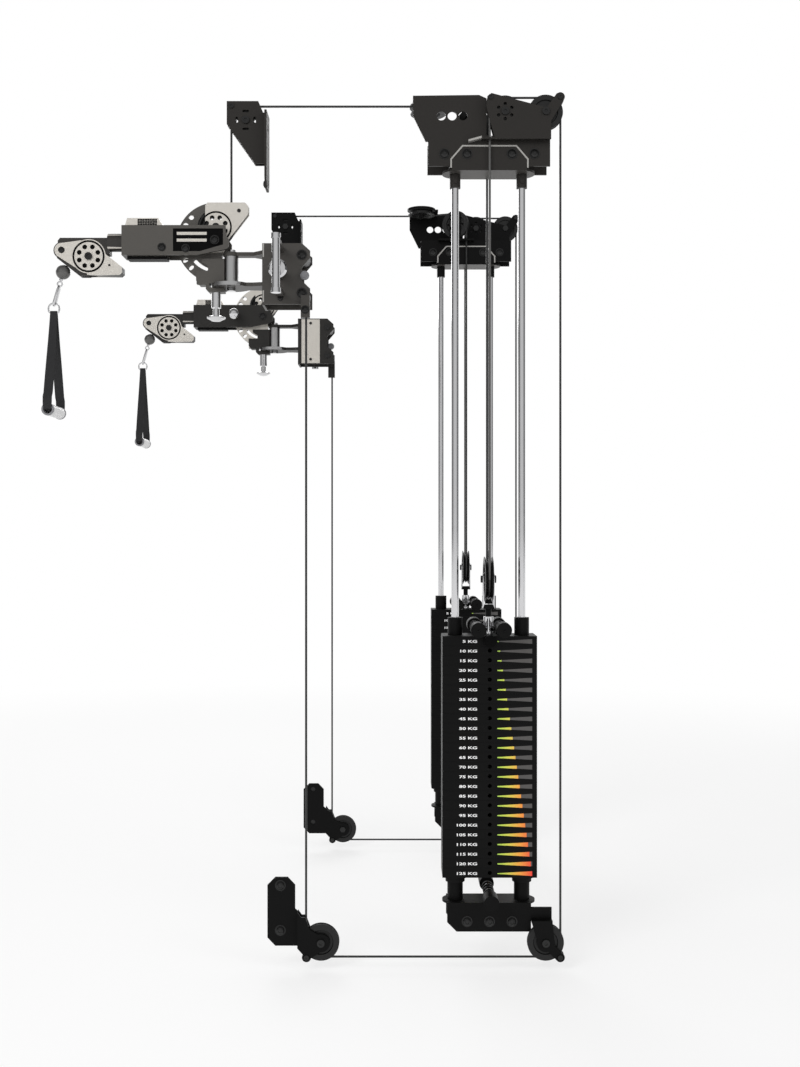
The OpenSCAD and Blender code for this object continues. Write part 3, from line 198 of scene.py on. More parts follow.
# A pale metal tone laid on edges as a painted highlight
edge_highlight_paint = material("painted_edge_highlight", (0.42, 0.41, 0.39), 0.35, 0.6, 200, 0.1)
ink = material("white_ink", (0.86, 0.86, 0.86), 0.55, 0, 200, 0.02)
gauge_grey = material("gauge_grey", (0.088, 0.084, 0.082), 0.55, 0, 200, 0.1, shine=0.2)
webbing = web_material()
gauges = {1: gauge_material("gauge_front", 1), -1: gauge_material("gauge_back", -1)}


# Shapes

def turn_angles(n):
    """The angles of n points round a full turn."""
    return [2 * math.pi * k / n for k in range(n)]


def on_body(side, body):
    return body if body == "base" or not body else f"{side}_{body}"


class Shape:
    """Vertices and faces gathered in unit millimetres, made into one object for one side."""

    def __init__(self):
        self.points, self.faces = [], []

    def add(self, points, faces):
        base = len(self.points)
        self.points += [Vector(p) for p in points]
        self.faces += [[base + i for i in face] for face in faces]
        return self

    def block(self, x0, x1, y0, y1, z0, z1):
        points = [(x, y, z) for x in (x0, x1) for y in (y0, y1) for z in (z0, z1)]
        return self.add(points, [(0, 1, 3, 2), (4, 6, 7, 5), (0, 4, 5, 1),
                                 (2, 3, 7, 6), (0, 2, 6, 4), (1, 5, 7, 3)])

    def loft(self, rings, closed=False):
        """Joins rings of equal length, with end caps unless closed."""
        n = len(rings[0])
        faces = []
        for i in range(len(rings) - (0 if closed else 1)):
            a, b = i * n, ((i + 1) % len(rings)) * n
            faces += [(a + k, a + (k + 1) % n, b + (k + 1) % n, b + k) for k in range(n)]
        if not closed:
            faces += [tuple(range(n))[::-1], tuple((len(rings) - 1) * n + k for k in range(n))]
        return self.add([p for ring in rings for p in ring], faces)

    def lathe(self, origin, axis, profile, n=48, closed=False):
        """Turns (radius, distance along the axis) pairs about the axis."""
        axis = Vector(axis).normalized()
        side = axis.orthogonal().normalized()
        up = axis.cross(side)
        rings = []
        for r, h in profile:
            r = max(r, 0.01)
            rings.append([Vector(origin) + axis * h + (side * math.cos(t) + up * math.sin(t)) * r
                          for t in turn_angles(n)])
        return self.loft(rings, closed)

    def rod(self, a, b, r, n=32, chamfer=0.4):
        a, b = Vector(a), Vector(b)
        long = (b - a).length
        c = min(chamfer, r / 3, long / 3)
        return self.lathe(a, b - a, [(r - c, 0), (r, c), (r, long - c), (r - c, long)], n)

    def tube(self, path, r, n=16, closed=False):
        """A round bar along a path, with rings that don't twist."""
        path = [Vector(p) for p in path]
        count = len(path)
        rings, side = [], None
        for i, p in enumerate(path):
            before = path[i - 1] if i or closed else p
            after = path[(i + 1) % count] if i < count - 1 or closed else p
            t = (after - before).normalized()
            side = t.orthogonal().normalized() if side is None else (side - t * side.dot(t)).normalized()
            up = t.cross(side)
            rings.append([p + (side * math.cos(k) + up * math.sin(k)) * r for k in turn_angles(n)])
        return self.loft(rings, closed)

    def ribbon(self, path, widths, thick):
        """A flat band along a path in the YZ plane, its width along X, with thin edges."""
        rings = []
        path = [Vector(p) for p in path]
        for i, p in enumerate(path):
            t = (path[min(i + 1, len(path) - 1)] - path[max(i - 1, 0)]).normalized()
            out = Vector((1, 0, 0)).cross(t) * thick / 2
            edge, flat = Vector((widths[i] / 2, 0, 0)), Vector((widths[i] / 2 - 0.6, 0, 0))
            rings.append([p - flat - out, p + flat - out, p + edge, p + flat + out, p - flat + out, p - edge])
        return self.loft(rings)

    def make(self, name, side, mat, body, slot, replaces=(), smooth=40):
        mesh = bpy.data.meshes.new(f"{side}_{name}")
        faces = self.faces if side == "right" else [face[::-1] for face in self.faces]
        mesh.from_pydata([at(side, *p) for p in self.points], [], faces)
        mesh.validate()
        obj = bpy.data.objects.new(f"{side}_{name}", mesh)
        nodes = [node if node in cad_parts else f"{side}_{node}" for node in replaces]
        return finish_piece(obj, mat, on_body(side, body), nodes, smooth)


def finish_piece(obj, mat, body, replaces, smooth):
    """Links a piece, shades it, hangs it on the body it rides on and hides the CAD nodes it stands for."""
    bpy.context.scene.collection.objects.link(obj)
    obj.data.materials.clear()
    obj.data.materials.append(mat)
    if smooth:
        obj.data.shade_smooth()
        obj.data.set_sharp_from_angle(angle=math.radians(smooth))
    if replaces:
        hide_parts(*replaces)
    if body:
        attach(obj, body)
    return obj


def recalc(obj):
    """Turns every face outward."""
    bm = bmesh.new()
    bm.from_mesh(obj.data)
    bmesh.ops.recalc_face_normals(bm, faces=bm.faces)
    bm.to_mesh(obj.data)
    bm.free()
    return obj


def mesh_of(curve):
    """The mesh that a curve or text makes."""
    temp = bpy.data.objects.new("temp", curve)
    bpy.context.scene.collection.objects.link(temp)
    mesh = bpy.data.meshes.new_from_object(temp.evaluated_get(bpy.context.evaluated_depsgraph_get()))
    bpy.data.objects.remove(temp)
    return mesh


def plate(name, side, outline, y0, y1, mat, body, bevel=0.5):
    """A flat plate in the XZ plane with softened edges."""
    curve = bpy.data.curves.new(f"{side}_{name}", "CURVE")
    curve.dimensions = "2D"
    curve.fill_mode = "BOTH"
    spline = curve.splines.new("POLY")
    spline.points.add(len(outline) - 1)
    for point, (x, z) in zip(spline.points, outline):
        point.co = (x, z, 0, 1)
    spline.use_cyclic_u = True
    curve.extrude = (y1 - y0) / 2 - bevel
    curve.bevel_depth = bevel
    curve.offset = -bevel
    curve.bevel_resolution = 1
    mesh = mesh_of(curve)
    for v in mesh.vertices:
        x, z, y = v.co
        v.co = at(side, x, (y0 + y1) / 2 + y, z)
    obj = bpy.data.objects.new(f"{side}_{name}", mesh)
    recalc(obj)
    return finish_piece(obj, mat, on_body(side, body), (), 30)


def arc(cx, cz, r, start, end, n=16):
    return [(cx + r * math.cos(math.radians(start + (end - start) * k / n)),
             cz + r * math.sin(math.radians(start + (end - start) * k / n))) for k in range(n + 1)]


def button(shape, p, out, r):
    """A button head on its washer, turned outward."""
    shape.lathe(p, out, [(r * 1.25, 0), (r * 1.25, 1.2), (r, 1.3), (r, r * 0.25), (r * 0.85, r * 0.5),
                         (r * 0.5, r * 0.66), (r * 0.45, r * 0.45), (0, r * 0.45)], 32)


def near(u, v, cu, cv, r):
    return math.hypot(u - cu, v - cv) < r


def inside(value, span):
    return span[0] < value < span[1]


# CAD pieces that show as they are

def paint(node, mat, rules=(), far=None):
    """Gives a CAD node its finish, the faces of its far unit a darker paint as painted shade, and another
    where a rule picks the face.
    """
    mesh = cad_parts[node].data
    mesh.materials.clear()
    for one in [mat] + [other for other, test in rules] + ([far] if far else []):
        mesh.materials.append(one)
    for poly in mesh.polygons:
        c = poly.center
        outward = 1 if c.y < 0 else -1
        poly.material_index = len(rules) + 1 if far and outward < 0 else 0
        x, y, z = c.x * 1000 + MID_X, outward * c.y * 1000 + HALF_GAP, c.z * 1000 + LOWEST
        for k, (other, test) in enumerate(rules):
            if test(x, y, z):
                poly.material_index = k + 1


EDGE = 0.1
WINDOW_X, WINDOW_Z = (-57.0, -21.5), (2190.0, 2218.0)
GRAB_Y, SHAFT_R, ROLLER_R, AXLE_END_R = -150.0, 12.2, 19.3, 11.5
SECTOR_IN, SECTOR_OUT = CABLE_R + FACE_GAP, HALF_P + FACE_GAP
COVER_OUT = SECTOR_OUT + CHEEK
COVER_LOW_Z, SECTOR_LOW_Z, SECTOR_FULL_Z = 1910.0, 1868.0, 1901.0
SECTOR_RING = (69.5, 108.0)
LOCK_X, LOCK_HOUSING_R = SWIVEL_X - 41, 13.4
ARM_WINDOW_X, ARM_WINDOW_Z = (PIVOT_X - 115, PIVOT_X + 25), (ARM_Z - 32, ARM_Z + 33)
ARM_LOW_Z = ARM_Z - 40
HEAD_COVER_Y = (14.05, 18.2)
CLEVIS_Z = (938.0, 968.0)


def window_edge_painted_highlight(x, y, z):
    """Edges of the three windows in the outer shield, painted pale as a painted highlight."""
    return inside(x, WINDOW_X) and inside(z, WINDOW_Z) and y < -SHEET_Y - EDGE


# The underside of the rod supports, painted a lighter grey as a painted reflection of the floor
def support_underside_painted_light(x, y, z):
    return abs(z - BEAM_HIGH_Z + SHEET) < 0.4


def grab_or_shaft(x, y, z):
    """The grab bar at the outer side, and the swivel's shaft outside the barrel."""
    return y < GRAB_Y or (near(x, y, SWIVEL_X, 0, SHAFT_R) and not inside(z, (DISC_Z + LUG_T, TOP_LUG_Z)))


def roller_bolt(x, y, z):
    return abs(y) > TROLLEY_Y + EDGE and any(near(x, z, ROLLER_X, c, 12) for c in ROLLER_ZS)


def roller(x, y, z):
    return abs(y) < TROLLEY_Y - TROLLEY_T - 0.5 and any(near(x, z, ROLLER_X, c, ROLLER_R) for c in ROLLER_ZS)


def disc_edge(x, y, z):
    """The rim of the index disc that the swivel pin locks in."""
    return inside(z, (DISC_Z + 0.2, DISC_Z + 9.5)) and x < SWIVEL_X + 30 and near(x, y, SWIVEL_X, 0, 60)


def sector_cover(x, y, z):
    """The pale cheeks outside the pivot pulley, but not the pivot's bore."""
    return (inside(abs(y), (SECTOR_OUT + EDGE, COVER_OUT + EDGE)) and z > COVER_LOW_Z
            and not near(x, z, PIVOT_X, ARM_Z, 8.3))


def cover_inside(x, y, z):
    return inside(y, (SECTOR_OUT - EDGE, SECTOR_OUT + EDGE)) and z > JAW_Z + 4.5


def far_sector(x, y, z):
    """The sector's inner sheet above the barrel, and its ring with the lock holes."""
    on_ring = inside(math.hypot(x - PIVOT_X, z - ARM_Z), SECTOR_RING) and abs(x - PIVOT_X + 21) > 0.3
    return inside(y, (SECTOR_IN + EDGE, SECTOR_OUT + EDGE)) and (
        z > SECTOR_FULL_Z or (z > SECTOR_LOW_Z and on_ring))


def pivot_axle_end(x, y, z):
    return near(x, z, PIVOT_X, PIVOT_PULLEY_Z, AXLE_END_R) and abs(y) > SECTOR_OUT - EDGE


def barrel(x, y, z):
    return near(x, y, SWIVEL_X, 0, BARREL_R + 0.3) and inside(z, (DISC_Z + LUG_T, TOP_LUG_Z + 1))


def lock_housing(x, y, z):
    return near(x, y, LOCK_X, 0, LOCK_HOUSING_R) and z < JAW_Z - 0.2


# The recess of the arm's window, painted black as painted shade
def arm_window(x, y, z):
    return inside(y, (-ARM_HALF + 0.4, -ARM_HALF + 3)) and inside(x, ARM_WINDOW_X) and inside(z, ARM_WINDOW_Z)


def below_arm(x, y, z):
    return z < ARM_LOW_Z - 0.5


def head_axle_end(x, y, z):
    return near(x, z, HEAD_X, HEAD_Z, AXLE_END_R) and abs(y) > 18


def head_cover(x, y, z):
    return inside(abs(y), HEAD_COVER_Y)


def rod_clevis(x, y, z):
    return inside(z, CLEVIS_Z)


def lift_cheek(x, y, z):
    return abs(x) > 16.6 and z > 1000


def paint_unit(side):
    """The near unit's moving pieces take their own paints, the far unit's take one darker paint as painted
    shade.
    """
    slide, joint, nose = (trolley_paint_and_lit_underside, arm_dark, head_dark) if side == "right" else (far_painted_shade,) * 3
    paint(f"{side}_trolley", slide, [
        (chrome, grab_or_shaft), (bolt_black, roller_bolt), (plastic, roller), (brushed, disc_edge)])
    paint(f"{side}_swivel_bracket", joint, [
        (champagne, sector_cover), (champagne, cover_inside), (champagne, far_sector),
        (bolt_black, pivot_axle_end), (brushed, barrel), (chrome, lock_housing)])
    paint(f"{side}_arm", joint, [(pit, arm_window), (black, below_arm)])
    paint(f"{side}_head", nose, [(bolt_black, head_axle_end), (champagne, head_cover)])
    paint(f"{side}_selector_rod", chrome, [(black, rod_clevis), (plastic, lift_cheek)])
    for name in ("height", "swivel", "pitch"):
        paint(f"{side}_{name}_pin", chrome)
    paint(f"{side}_arm_release", champagne)
    paint(f"{side}_top_plate", iron)
    paint(f"{side}_selector_pin", pit)
    for name in ("floating", "front_top", "idler", "drop", "lift",
                 "rear_top", "rear_base", "front_base", "pivot", "head"):
        paint(f"{side}_{name}_pulley", plastic)


# The far unit's housings, supports and brackets take black instead of charcoal, as painted shade
paint("top_housings", charcoal, [(edge_highlight_paint, window_edge_painted_highlight)], far=black)
paint("rod_supports", charcoal, [(trolley_paint_and_lit_underside, support_underside_painted_light)], far=black)
paint("front_top_brackets", charcoal, far=black)
for name, mat in (("base_brackets", black), ("front_base_brackets", black), ("guide_rods", chrome),
                  ("resting_weights", iron), ("rubber_bumpers", rubber), ("pulley_axles", bolt_black)):
    paint(name, mat)
for s in SIDES:
    paint_unit(s)
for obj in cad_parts.values():
    obj.data.shade_smooth()
    obj.data.set_sharp_from_angle(angle=math.radians(35))


# Cables

RUN_Y = LIFT_R
TURN_IN = math.radians(TURN_DEG)
DROP_X, DROP_Y = -PULLEY_R * math.cos(TURN_IN), RUN_Y - PULLEY_R * math.sin(TURN_IN)
IDLER_Y = PULLEY_R
IDLER_X = DROP_X + (math.cos(TURN_IN) * (IDLER_Y - DROP_Y) - PULLEY_R) / math.sin(TURN_IN)
TO_BALL = BALL - Vector((HEAD_X, 0, HEAD_Z))
EXIT = math.atan2(TO_BALL.z, TO_BALL.x) + 2 * math.pi - math.acos(PULLEY_R / TO_BALL.length)
TANGENT = Vector((HEAD_X + PULLEY_R * math.cos(EXIT), 0, HEAD_Z + PULLEY_R * math.sin(EXIT)))
ALONG = (BALL - TANGENT).normalized()
BALL_R = 19.5
ARM_CABLE_END = PIVOT_X - 251


def in_xz(points, y):
    return [(x, y, z) for x, z in points]


def run(a, b, n=24):
    a, b = Vector(a), Vector(b)
    return [a + (b - a) * k / n for k in range(n + 1)]


def cable(name, side, path, body, node, coat=cable_mat):
    """A piece of the cable along its centre line, in the place of a cable node."""
    return Shape().tube(path, CABLE_R).make(f"cable_{name}", side, coat, body, "cable", [node])


def fixed_cables(side):
    """The runs round the pulleys of the rack and of the stack."""
    side_turn = [(x, y, FRONT_LINE_Z) for x, y in arc(IDLER_X, IDLER_Y, PULLEY_R, -90, TURN_DEG - 90, 4)]
    over = [(DROP_X + u * math.cos(TURN_IN), DROP_Y + u * math.sin(TURN_IN), z)
            for u, z in arc(0, FRONT_TOP_Z, PULLEY_R, 90, 0, 15)]
    top = in_xz(arc(FRONT_TOP_X, FRONT_TOP_Z, PULLEY_R, 180, 90), 0) + side_turn + over
    cable("top_run", side, top, "base", "long_cables")
    corners = ((PULLEY_R, REAR_Z, 180, 90), (REAR_X, REAR_Z, 90, 0), (REAR_X, BASE_Z, 0, -90),
               (FRONT_BASE_X, BASE_Z, 270, 180))
    back = [p for x, z, start, end in corners for p in in_xz(arc(x, z, PULLEY_R, start, end), -RUN_Y)]
    cable("back_run", side, back, "base", "long_cables")
    loop = [(0, y, z) for y, z in arc(0, LIFT_Z, LIFT_R, 0, -180, 30)]
    cable("stack_loop", side, loop, "lift", "long_cables")


def stretching_cables(side):
    """The straight runs between the rack and what moves up or down."""
    front_x = FRONT_BASE_X - PULLEY_R
    for name, a, b, body in (
            ("inner_run", (0, RUN_Y, FRONT_TOP_Z), (0, RUN_Y, LIFT_Z), "lift"),
            ("outer_run", (0, -RUN_Y, REAR_Z), (0, -RUN_Y, LIFT_Z), "lift"),
            ("arm_drop", (SWIVEL_X, 0, FRONT_TOP_Z), (SWIVEL_X, 0, PIVOT_PULLEY_Z), "trolley"),
            ("trolley_run", (front_x, -RUN_Y, BASE_Z), (front_x, -RUN_Y, TROLLEY_Z - 38), "trolley")):
        # The outer run in front takes the lighter jacket as painted light
        coat = cable_painted_light if name == "outer_run" else cable_mat
        obj = cable(name, side, run(a, b), None, "long_cables", coat)
        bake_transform(obj)


def arm_cables(side):
    """The cable from the pivot pulley through arm and head to the ball."""
    wrap = in_xz(arc(PIVOT_X, PIVOT_PULLEY_Z, PULLEY_R, 0, -90), 0)
    cable("pivot_wrap", side, wrap, "swivel", "arm_cable")
    cable("in_arm", side, run((PIVOT_X, 0, ARM_Z), (ARM_CABLE_END, 0, ARM_Z), 4), "arm", "arm_cable")
    nose = run((ARM_CABLE_END, 0, ARM_Z), (HEAD_X, 0, ARM_Z), 4)[:-1]
    nose += in_xz(arc(HEAD_X, HEAD_Z, PULLEY_R, 90, math.degrees(EXIT)), 0)
    cable("in_head", side, nose, "head", "arm_cable")
    end = BALL - ALONG * BALL_R * 0.9
    obj = cable("end", side, run(TANGENT, end, 16), None, "arm_cable")
    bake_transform(obj)


for s in SIDES:
    fixed_cables(s)
    stretching_cables(s)
    arm_cables(s)


# Ball, snap hook and strap handle

HOOK_R, HOOK_BEND = 3.5, 9.0
RING_IN, RING_OUT = 12.5, 14.8
RING_CENTRE = RING + Vector((0, 0, HOOK_R + REST_GAP - RING_IN))
BAR_Z = RING_CENTRE.z - 10.6
CAP_W = 7.0
ACROSS = Vector((0, 1, 0))


def cable_ball(side):
    """A ball with a small mouth where the cable enters it."""
    mouth = 14
    turns = [math.radians(mouth + (180 - mouth) * k / 40) for k in range(41)]
    profile = [(4.2, 2.2), (4.4, 0.6)] + [(BALL_R * math.sin(t), BALL_R * (1 - math.cos(t))) for t in turns]
    ball = Shape().lathe(BALL - ALONG * BALL_R, ALONG, profile, 48)
    recalc(ball.make("cable_ball", side, ball_mat, "cable_stop", "ball", ["cable_stop"]))


def snap_hook(side):
    """A bent wire hook with a swivel eye, leaning from the D ring to the ball."""
    lean = (BALL - RING).normalized()
    bend = [(HOOK_BEND * math.sin(t), HOOK_BEND - HOOK_BEND * math.cos(t))
            for t in (math.radians(-90 + 15 * k) for k in range(12))]
    flank = [(HOOK_BEND, HOOK_BEND), (8, 30), (6.5, 46), (4, 52)]
    wire = bend + flank + [(0, 54)] + [(-a, b) for a, b in flank[:0:-1]]
    hook = Shape()
    hook.tube([RING + ACROSS * a + lean * b for a, b in wire], 3.2, 14, closed=True)
    eye, eye_r = RING + lean * 60, 6.5
    hook.tube([eye + Vector((eye_r * math.sin(t), 0, eye_r * math.cos(t))) for t in turn_angles(28)],
              2.0, 12, closed=True)
    hook.rod(RING + lean * 53, RING + lean * 57, 4.2)
    hook.rod(eye + lean * eye_r, BALL - lean * (BALL_R - 3), 2.4)
    hook.rod(RING + lean * 69, RING + lean * 74, 5.0)
    recalc(hook.make("snap_hook", side, chrome, "cable_stop", "chrome", ["cable_stop"]))


def d_ring(side):
    """A round bow, closed by a straight bar that the strap hangs on."""
    bow = arc(0, 0, RING_OUT, -20, 200, 22)
    bow += [(-14.5, -7.5), (-12, -10.6), (0, -10.6), (12, -10.6), (14.5, -7.5)]
    ring = Shape().tube([RING_CENTRE + Vector((x, 0, z)) for x, z in bow], 2.3, 14, closed=True)
    recalc(ring.make("d_ring", side, chrome, "strap_handle", "chrome", ["strap_handle"]))


def strap(side):
    """Two legs of webbing, gathered at the D ring and spread to the ends of the grip."""
    leg_y = GRIP_HALF + 2.2
    # Distance from the middle, height and width of the band on its way down
    legs = (
        (2.6, BAR_Z + 3.4, 19), (4.1, BAR_Z + 1, 19), (4.0, BAR_Z - 4, 19), (4.6, BAR_Z - 14, 20),
        (9.5, BAR_Z - 40, 21), (20, BAR_Z - 86, 22.5), (33, BAR_Z - 136, 24), (46, BAR_Z - 186, 25),
        (56, BAR_Z - 222, 25), (leg_y - 0.6, GRIP_Z + 34, 25), (leg_y + 0.6, GRIP_Z + 18, 24.5),
        (leg_y + 0.8, GRIP_Z + 8, 23.5), (leg_y - 1.4, GRIP_Z + 2, 22.5), (leg_y - 7, GRIP_Z - 0.5, 22),
        (leg_y - 20, GRIP_Z - 0.5, 22))
    lap = ((2.0, BAR_Z - 4, 18.5), (3.0, BAR_Z - 16, 18.5), (4.0, BAR_Z - 30, 18))
    straps = Shape()
    for sign in (-1, 1):
        for band, thick in ((legs, 2.4), (lap, 2.0)):
            path = [(RING.x, sign * y, z) for y, z, width in band]
            straps.ribbon(path, [width for y, z, width in band], thick)
    recalc(straps.make("webbing", side, webbing, "strap_handle", "webbing", ["strap_handle"]))


def grip(side):
    """A silver tube between two grey end rings."""
    bore, long = 12.3, 2 * (GRIP_HALF - CAP_W)
    tube = Shape().lathe((RING.x, CAP_W - GRIP_HALF, GRIP_Z), ACROSS, [
        (bore, 0), (GRIP_R - 0.8, 0), (GRIP_R, 0.8),
        (GRIP_R, long - 0.8), (GRIP_R - 0.8, long), (bore, long)], 64, closed=True)
    recalc(tube.make("grip_tube", side, grip_mat, "strap_handle", "webbing", ["strap_handle"]))
    caps = Shape()
    for y in (-GRIP_HALF, GRIP_HALF - CAP_W):
        caps.lathe((RING.x, y, GRIP_Z), ACROSS, [
            (12, 0), (15.6, 0), (16.9, 1.2), (16.9, 5.8), (15.8, 6.95), (12, 6.95)], 64, closed=True)
    recalc(caps.make("grip_rings", side, ring_mat, "strap_handle", "webbing", ["strap_handle"]))


for s in SIDES:
    cable_ball(s)
    snap_hook(s)
    d_ring(s)
    strap(s)
    grip(s)


# Add-on weights

BAR_HALF, BAR_R, NECK_R, BLACK_LEN = 122.0, 20.0, 12.0, 55.0
WEIGHT_X, WEIGHT_Z = 33.5, STACK_TOP_Z + BAR_R + FACE_GAP
STORE_Z = BEAM_LOW_Z + 2 * HALF_W + SHEET + BAR_R + FACE_GAP


def bar_black(shape, x, z):
    """The black ends of one bar, each with a groove and a dished face, and the rings between them."""
    end = BLACK_LEN
    for sign in (-1, 1):
        shape.lathe((x, sign * (BAR_HALF - end), z), (0, sign, 0), [
            (0, 0), (BAR_R - 1, 0), (BAR_R, 1), (BAR_R, 17), (BAR_R - 2.5, 18), (BAR_R - 2.5, 21),
            (BAR_R, 22), (BAR_R, end - 1.2), (BAR_R - 1.2, end), (3, end), (3, end - 3), (0, end - 3)], 48)
    for y in (-40, -14, 8, 34):
        shape.lathe((x, y, z), (0, 1, 0), [
            (11, 0), (14.4, 0), (15, 0.6), (15, 5.4), (14.4, 6), (11, 6)], 40, closed=True)


def add_on_weights(side):
    """Two bars that lie on the top plate, and the bright necks of the one stored under the stack."""
    dark, shine = Shape(), Shape()
    neck_end = BAR_HALF - BLACK_LEN + 1
    for x in (-WEIGHT_X, WEIGHT_X):
        bar_black(dark, x, WEIGHT_Z)
        shine.rod((x, -neck_end, WEIGHT_Z), (x, neck_end, WEIGHT_Z), NECK_R)
    recalc(dark.make("add_on_bars", side, iron, "lift", "weight", ["add_on_weights"]))
    recalc(shine.make("add_on_necks", side, chrome, "lift", "chrome", ["add_on_weights"]))
    sleeve = Shape()
    inner, outer = NECK_R - 1, NECK_R + 0.3
    for y0, y1 in ((-66.5, -40.3), (-33.7, -14.3), (-7.7, 7.7), (14.3, 33.7), (40.3, 66.5)):
        sleeve.lathe((0, y0, STORE_Z), (0, 1, 0), [
            (inner, 0), (outer, 0), (outer, y1 - y0), (inner, y1 - y0)], 48, closed=True)
    recalc(sleeve.make("stored_bar_necks", side, chrome, "base", "chrome"))


for s in SIDES:
    add_on_weights(s)


# Numbers and gauge bars on the stack

KG_STEP, LETTER_SIZE, LETTER_WIDTH = 5, 9.8, 1.86
LETTERS_X, LETTERS_DROP = -33.0, 4.7


def letters(text):
    """Points and faces of one label, which ends at x = 0."""
    curve = bpy.data.curves.new("text", "FONT")
    curve.body = text
    curve.size = LETTER_SIZE
    curve.align_x = "RIGHT"
    curve.offset = LETTER_SIZE * 0.027
    curve.extrude = 0.12
    curve.resolution_u = 3
    mesh = mesh_of(curve)
    points = [tuple(v.co) for v in mesh.vertices]
    faces = [tuple(p.vertices) for p in mesh.polygons]
    bpy.data.meshes.remove(mesh)
    return points, faces


LABELS = [letters(f"{KG_STEP * (k + 1)} KG") for k in range(PLATE_COUNT)]


def gauge_bar(shape, mid, reads, facing, share, lift):
    """A wedge that grows from its narrow end with the plate's share of the whole weight."""
    y0, y1 = facing * (PLATE_HALF_Y - 0.1), facing * (PLATE_HALF_Y + lift)
    low, over = mid - 1.5, 0.4 if share < 1 else 0.0
    rings = []
    for along, half in ((0, 1.0 + over), (GAUGE_LEN * share, 1.0 + 5.2 * share + over)):
        x = reads * (GAUGE_X + along)
        rings.append([(x, y0, low - half), (x, y1, low - half), (x, y1, low + half), (x, y0, low + half)])
    shape.loft(rings)


def stack_face(side, facing, body, rows):
    """The labels and gauges of some plates on one face of the stack."""
    # Text reads along plus X where the face looks to the row's minus Y
    reads = 1 if (-facing if side == "left" else facing) < 0 else -1
    text, grey, fill = Shape(), Shape(), Shape()
    y = facing * (PLATE_HALF_Y + 0.12)
    for k in rows:
        mid = STACK_Z + (PLATE_COUNT - 1 - k) * PLATE_PITCH + PLATE_T / 2
        points, faces = LABELS[k]
        text.add([(reads * (LETTERS_X + x * LETTER_WIDTH), y + facing * z, mid - LETTERS_DROP + h)
                  for x, h, z in points], faces)
        gauge_bar(grey, mid, reads, facing, 1.0, 0.12)
        gauge_bar(fill, mid, reads, facing, (k + 1) / PLATE_COUNT, 0.3)
    tag = f"{'front' if facing < 0 else 'rear'}_{'top' if body == 'lift' else 'stack'}"
    for name, shape, mat in (("numbers", text, ink), ("gauge", grey, gauge_grey),
                             ("gauge_fill", fill, gauges[reads])):
        recalc(shape.make(f"{name}_{tag}", side, mat, body, "weight", (), 0))


for s in SIDES:
    for face in (-1, 1):
        stack_face(s, face, "lift", range(1))
        stack_face(s, face, "base", range(1, PLATE_COUNT))


# Bolts, covers and trim

RACK_BOLT_R = 11.5


def rack_bolts(side):
    """Bolt heads of the brackets that clamp the rack's beams and uprights."""
    bolts = Shape()
    high = [(k * BEAM_PITCH, BEAM_HIGH_Z + 2 * HALF_W - 37) for k in (-2, -1, 1, 2)]
    low = [(k * BEAM_PITCH, BEAM_LOW_Z + 31) for k in (-1, 0, 1)]
    for x, z in high + low:
        for out in (-1, 1):
            button(bolts, (x, out * SHEET_Y, z), (0, out, 0), RACK_BOLT_R)
    for dz in (27, 147):
        button(bolts, (POST_X, -SHEET_Y, BASE_Z + dz), (0, -1, 0), RACK_BOLT_R)
    for dz in (-170, -20):
        button(bolts, (POST_FACE_X - SHEET, 0, FRONT_TOP_Z + dz), (-1, 0, 0), 10)
    recalc(bolts.make("rack_bolts", side, bolt_black, "base", "black_bolt"))


def notch_edges(side):
    """Painted highlight along the edge of the notch, as pale strips in the gap between the saddle and the
    flange behind it.
    """
    outer = [(104.7, 2137), (104.7, 2160.8), (72.9, 2197.7)]
    inner = [(70.7, 2193.3), (100.3, 2159), (100.3, 2137)]
    edge = [(-x, z) for x, z in outer] + outer[::-1] + inner[::-1] + [(-x, z) for x, z in inner]
    plate("notch_edge_out", side, edge, -43.3, -42.0, edge_highlight_paint, "base")
    plate("notch_edge_in", side, edge, 42.0, 43.3, edge_highlight_paint, "base")


def rectangle(x0, x1, z0, z1):
    return [(x0, z0), (x1, z0), (x1, z1), (x0, z1)]


def trolley_trim(side):
    """Roller bolts, pale slide pads that are also a painted highlight on the front edge, the bare plate at
    the inner side and the small knob.
    """
    caps, skin = Shape(), -TROLLEY_Y - 0.2
    for z in ROLLER_ZS:
        button(caps, (ROLLER_X, skin, z), (0, -1, 0), 11)
    button(caps, (POST_X, skin, TROLLEY_Z + 16), (0, -1, 0), 6)
    button(caps, (POST_X + 67.5, -59, TROLLEY_Z - 17), (0, -1, 0), 9)
    recalc(caps.make("trolley_bolts", side, bolt_black, "trolley", "black_bolt"))
    # Two pale strips at the front edge: slide pads, painted light as an edge highlight
    for name, low, high in (("pad_highlight_low", 6, 37), ("pad_highlight_high", 126, 162)):
        strip = rectangle(POST_FACE_X - 9.6, POST_FACE_X - 6, TROLLEY_Z + low, TROLLEY_Z + high)
        plate(name, side, strip, -45.1, -44.3, edge_highlight_paint, "trolley", bevel=0.2)
    cover = rectangle(POST_FACE_X + 2, POST_FACE_X + 68, TROLLEY_Z + 2, TROLLEY_Z + 160)
    plate("name_plate", side, cover, 44.6, 46.2, champagne, "trolley")
    screws = Shape()
    for dz in (16, 146):
        button(screws, (POST_FACE_X + 35, 46.2, TROLLEY_Z + dz), (0, 1, 0), 4)
    recalc(screws.make("name_plate_screws", side, bolt_black, "trolley", "black_bolt"))
    knob = Shape().lathe((POST_X + 65.5, -44, TROLLEY_Z + 76), (0, -1, 0), [
        (9, -8), (9, 0), (12, 1), (12, 4), (8, 5), (8, 7), (11, 8), (11, 11), (7, 12), (7, 14), (0, 14)], 36)
    recalc(knob.make("notch_knob", side, ring_mat, "trolley", "chrome"))


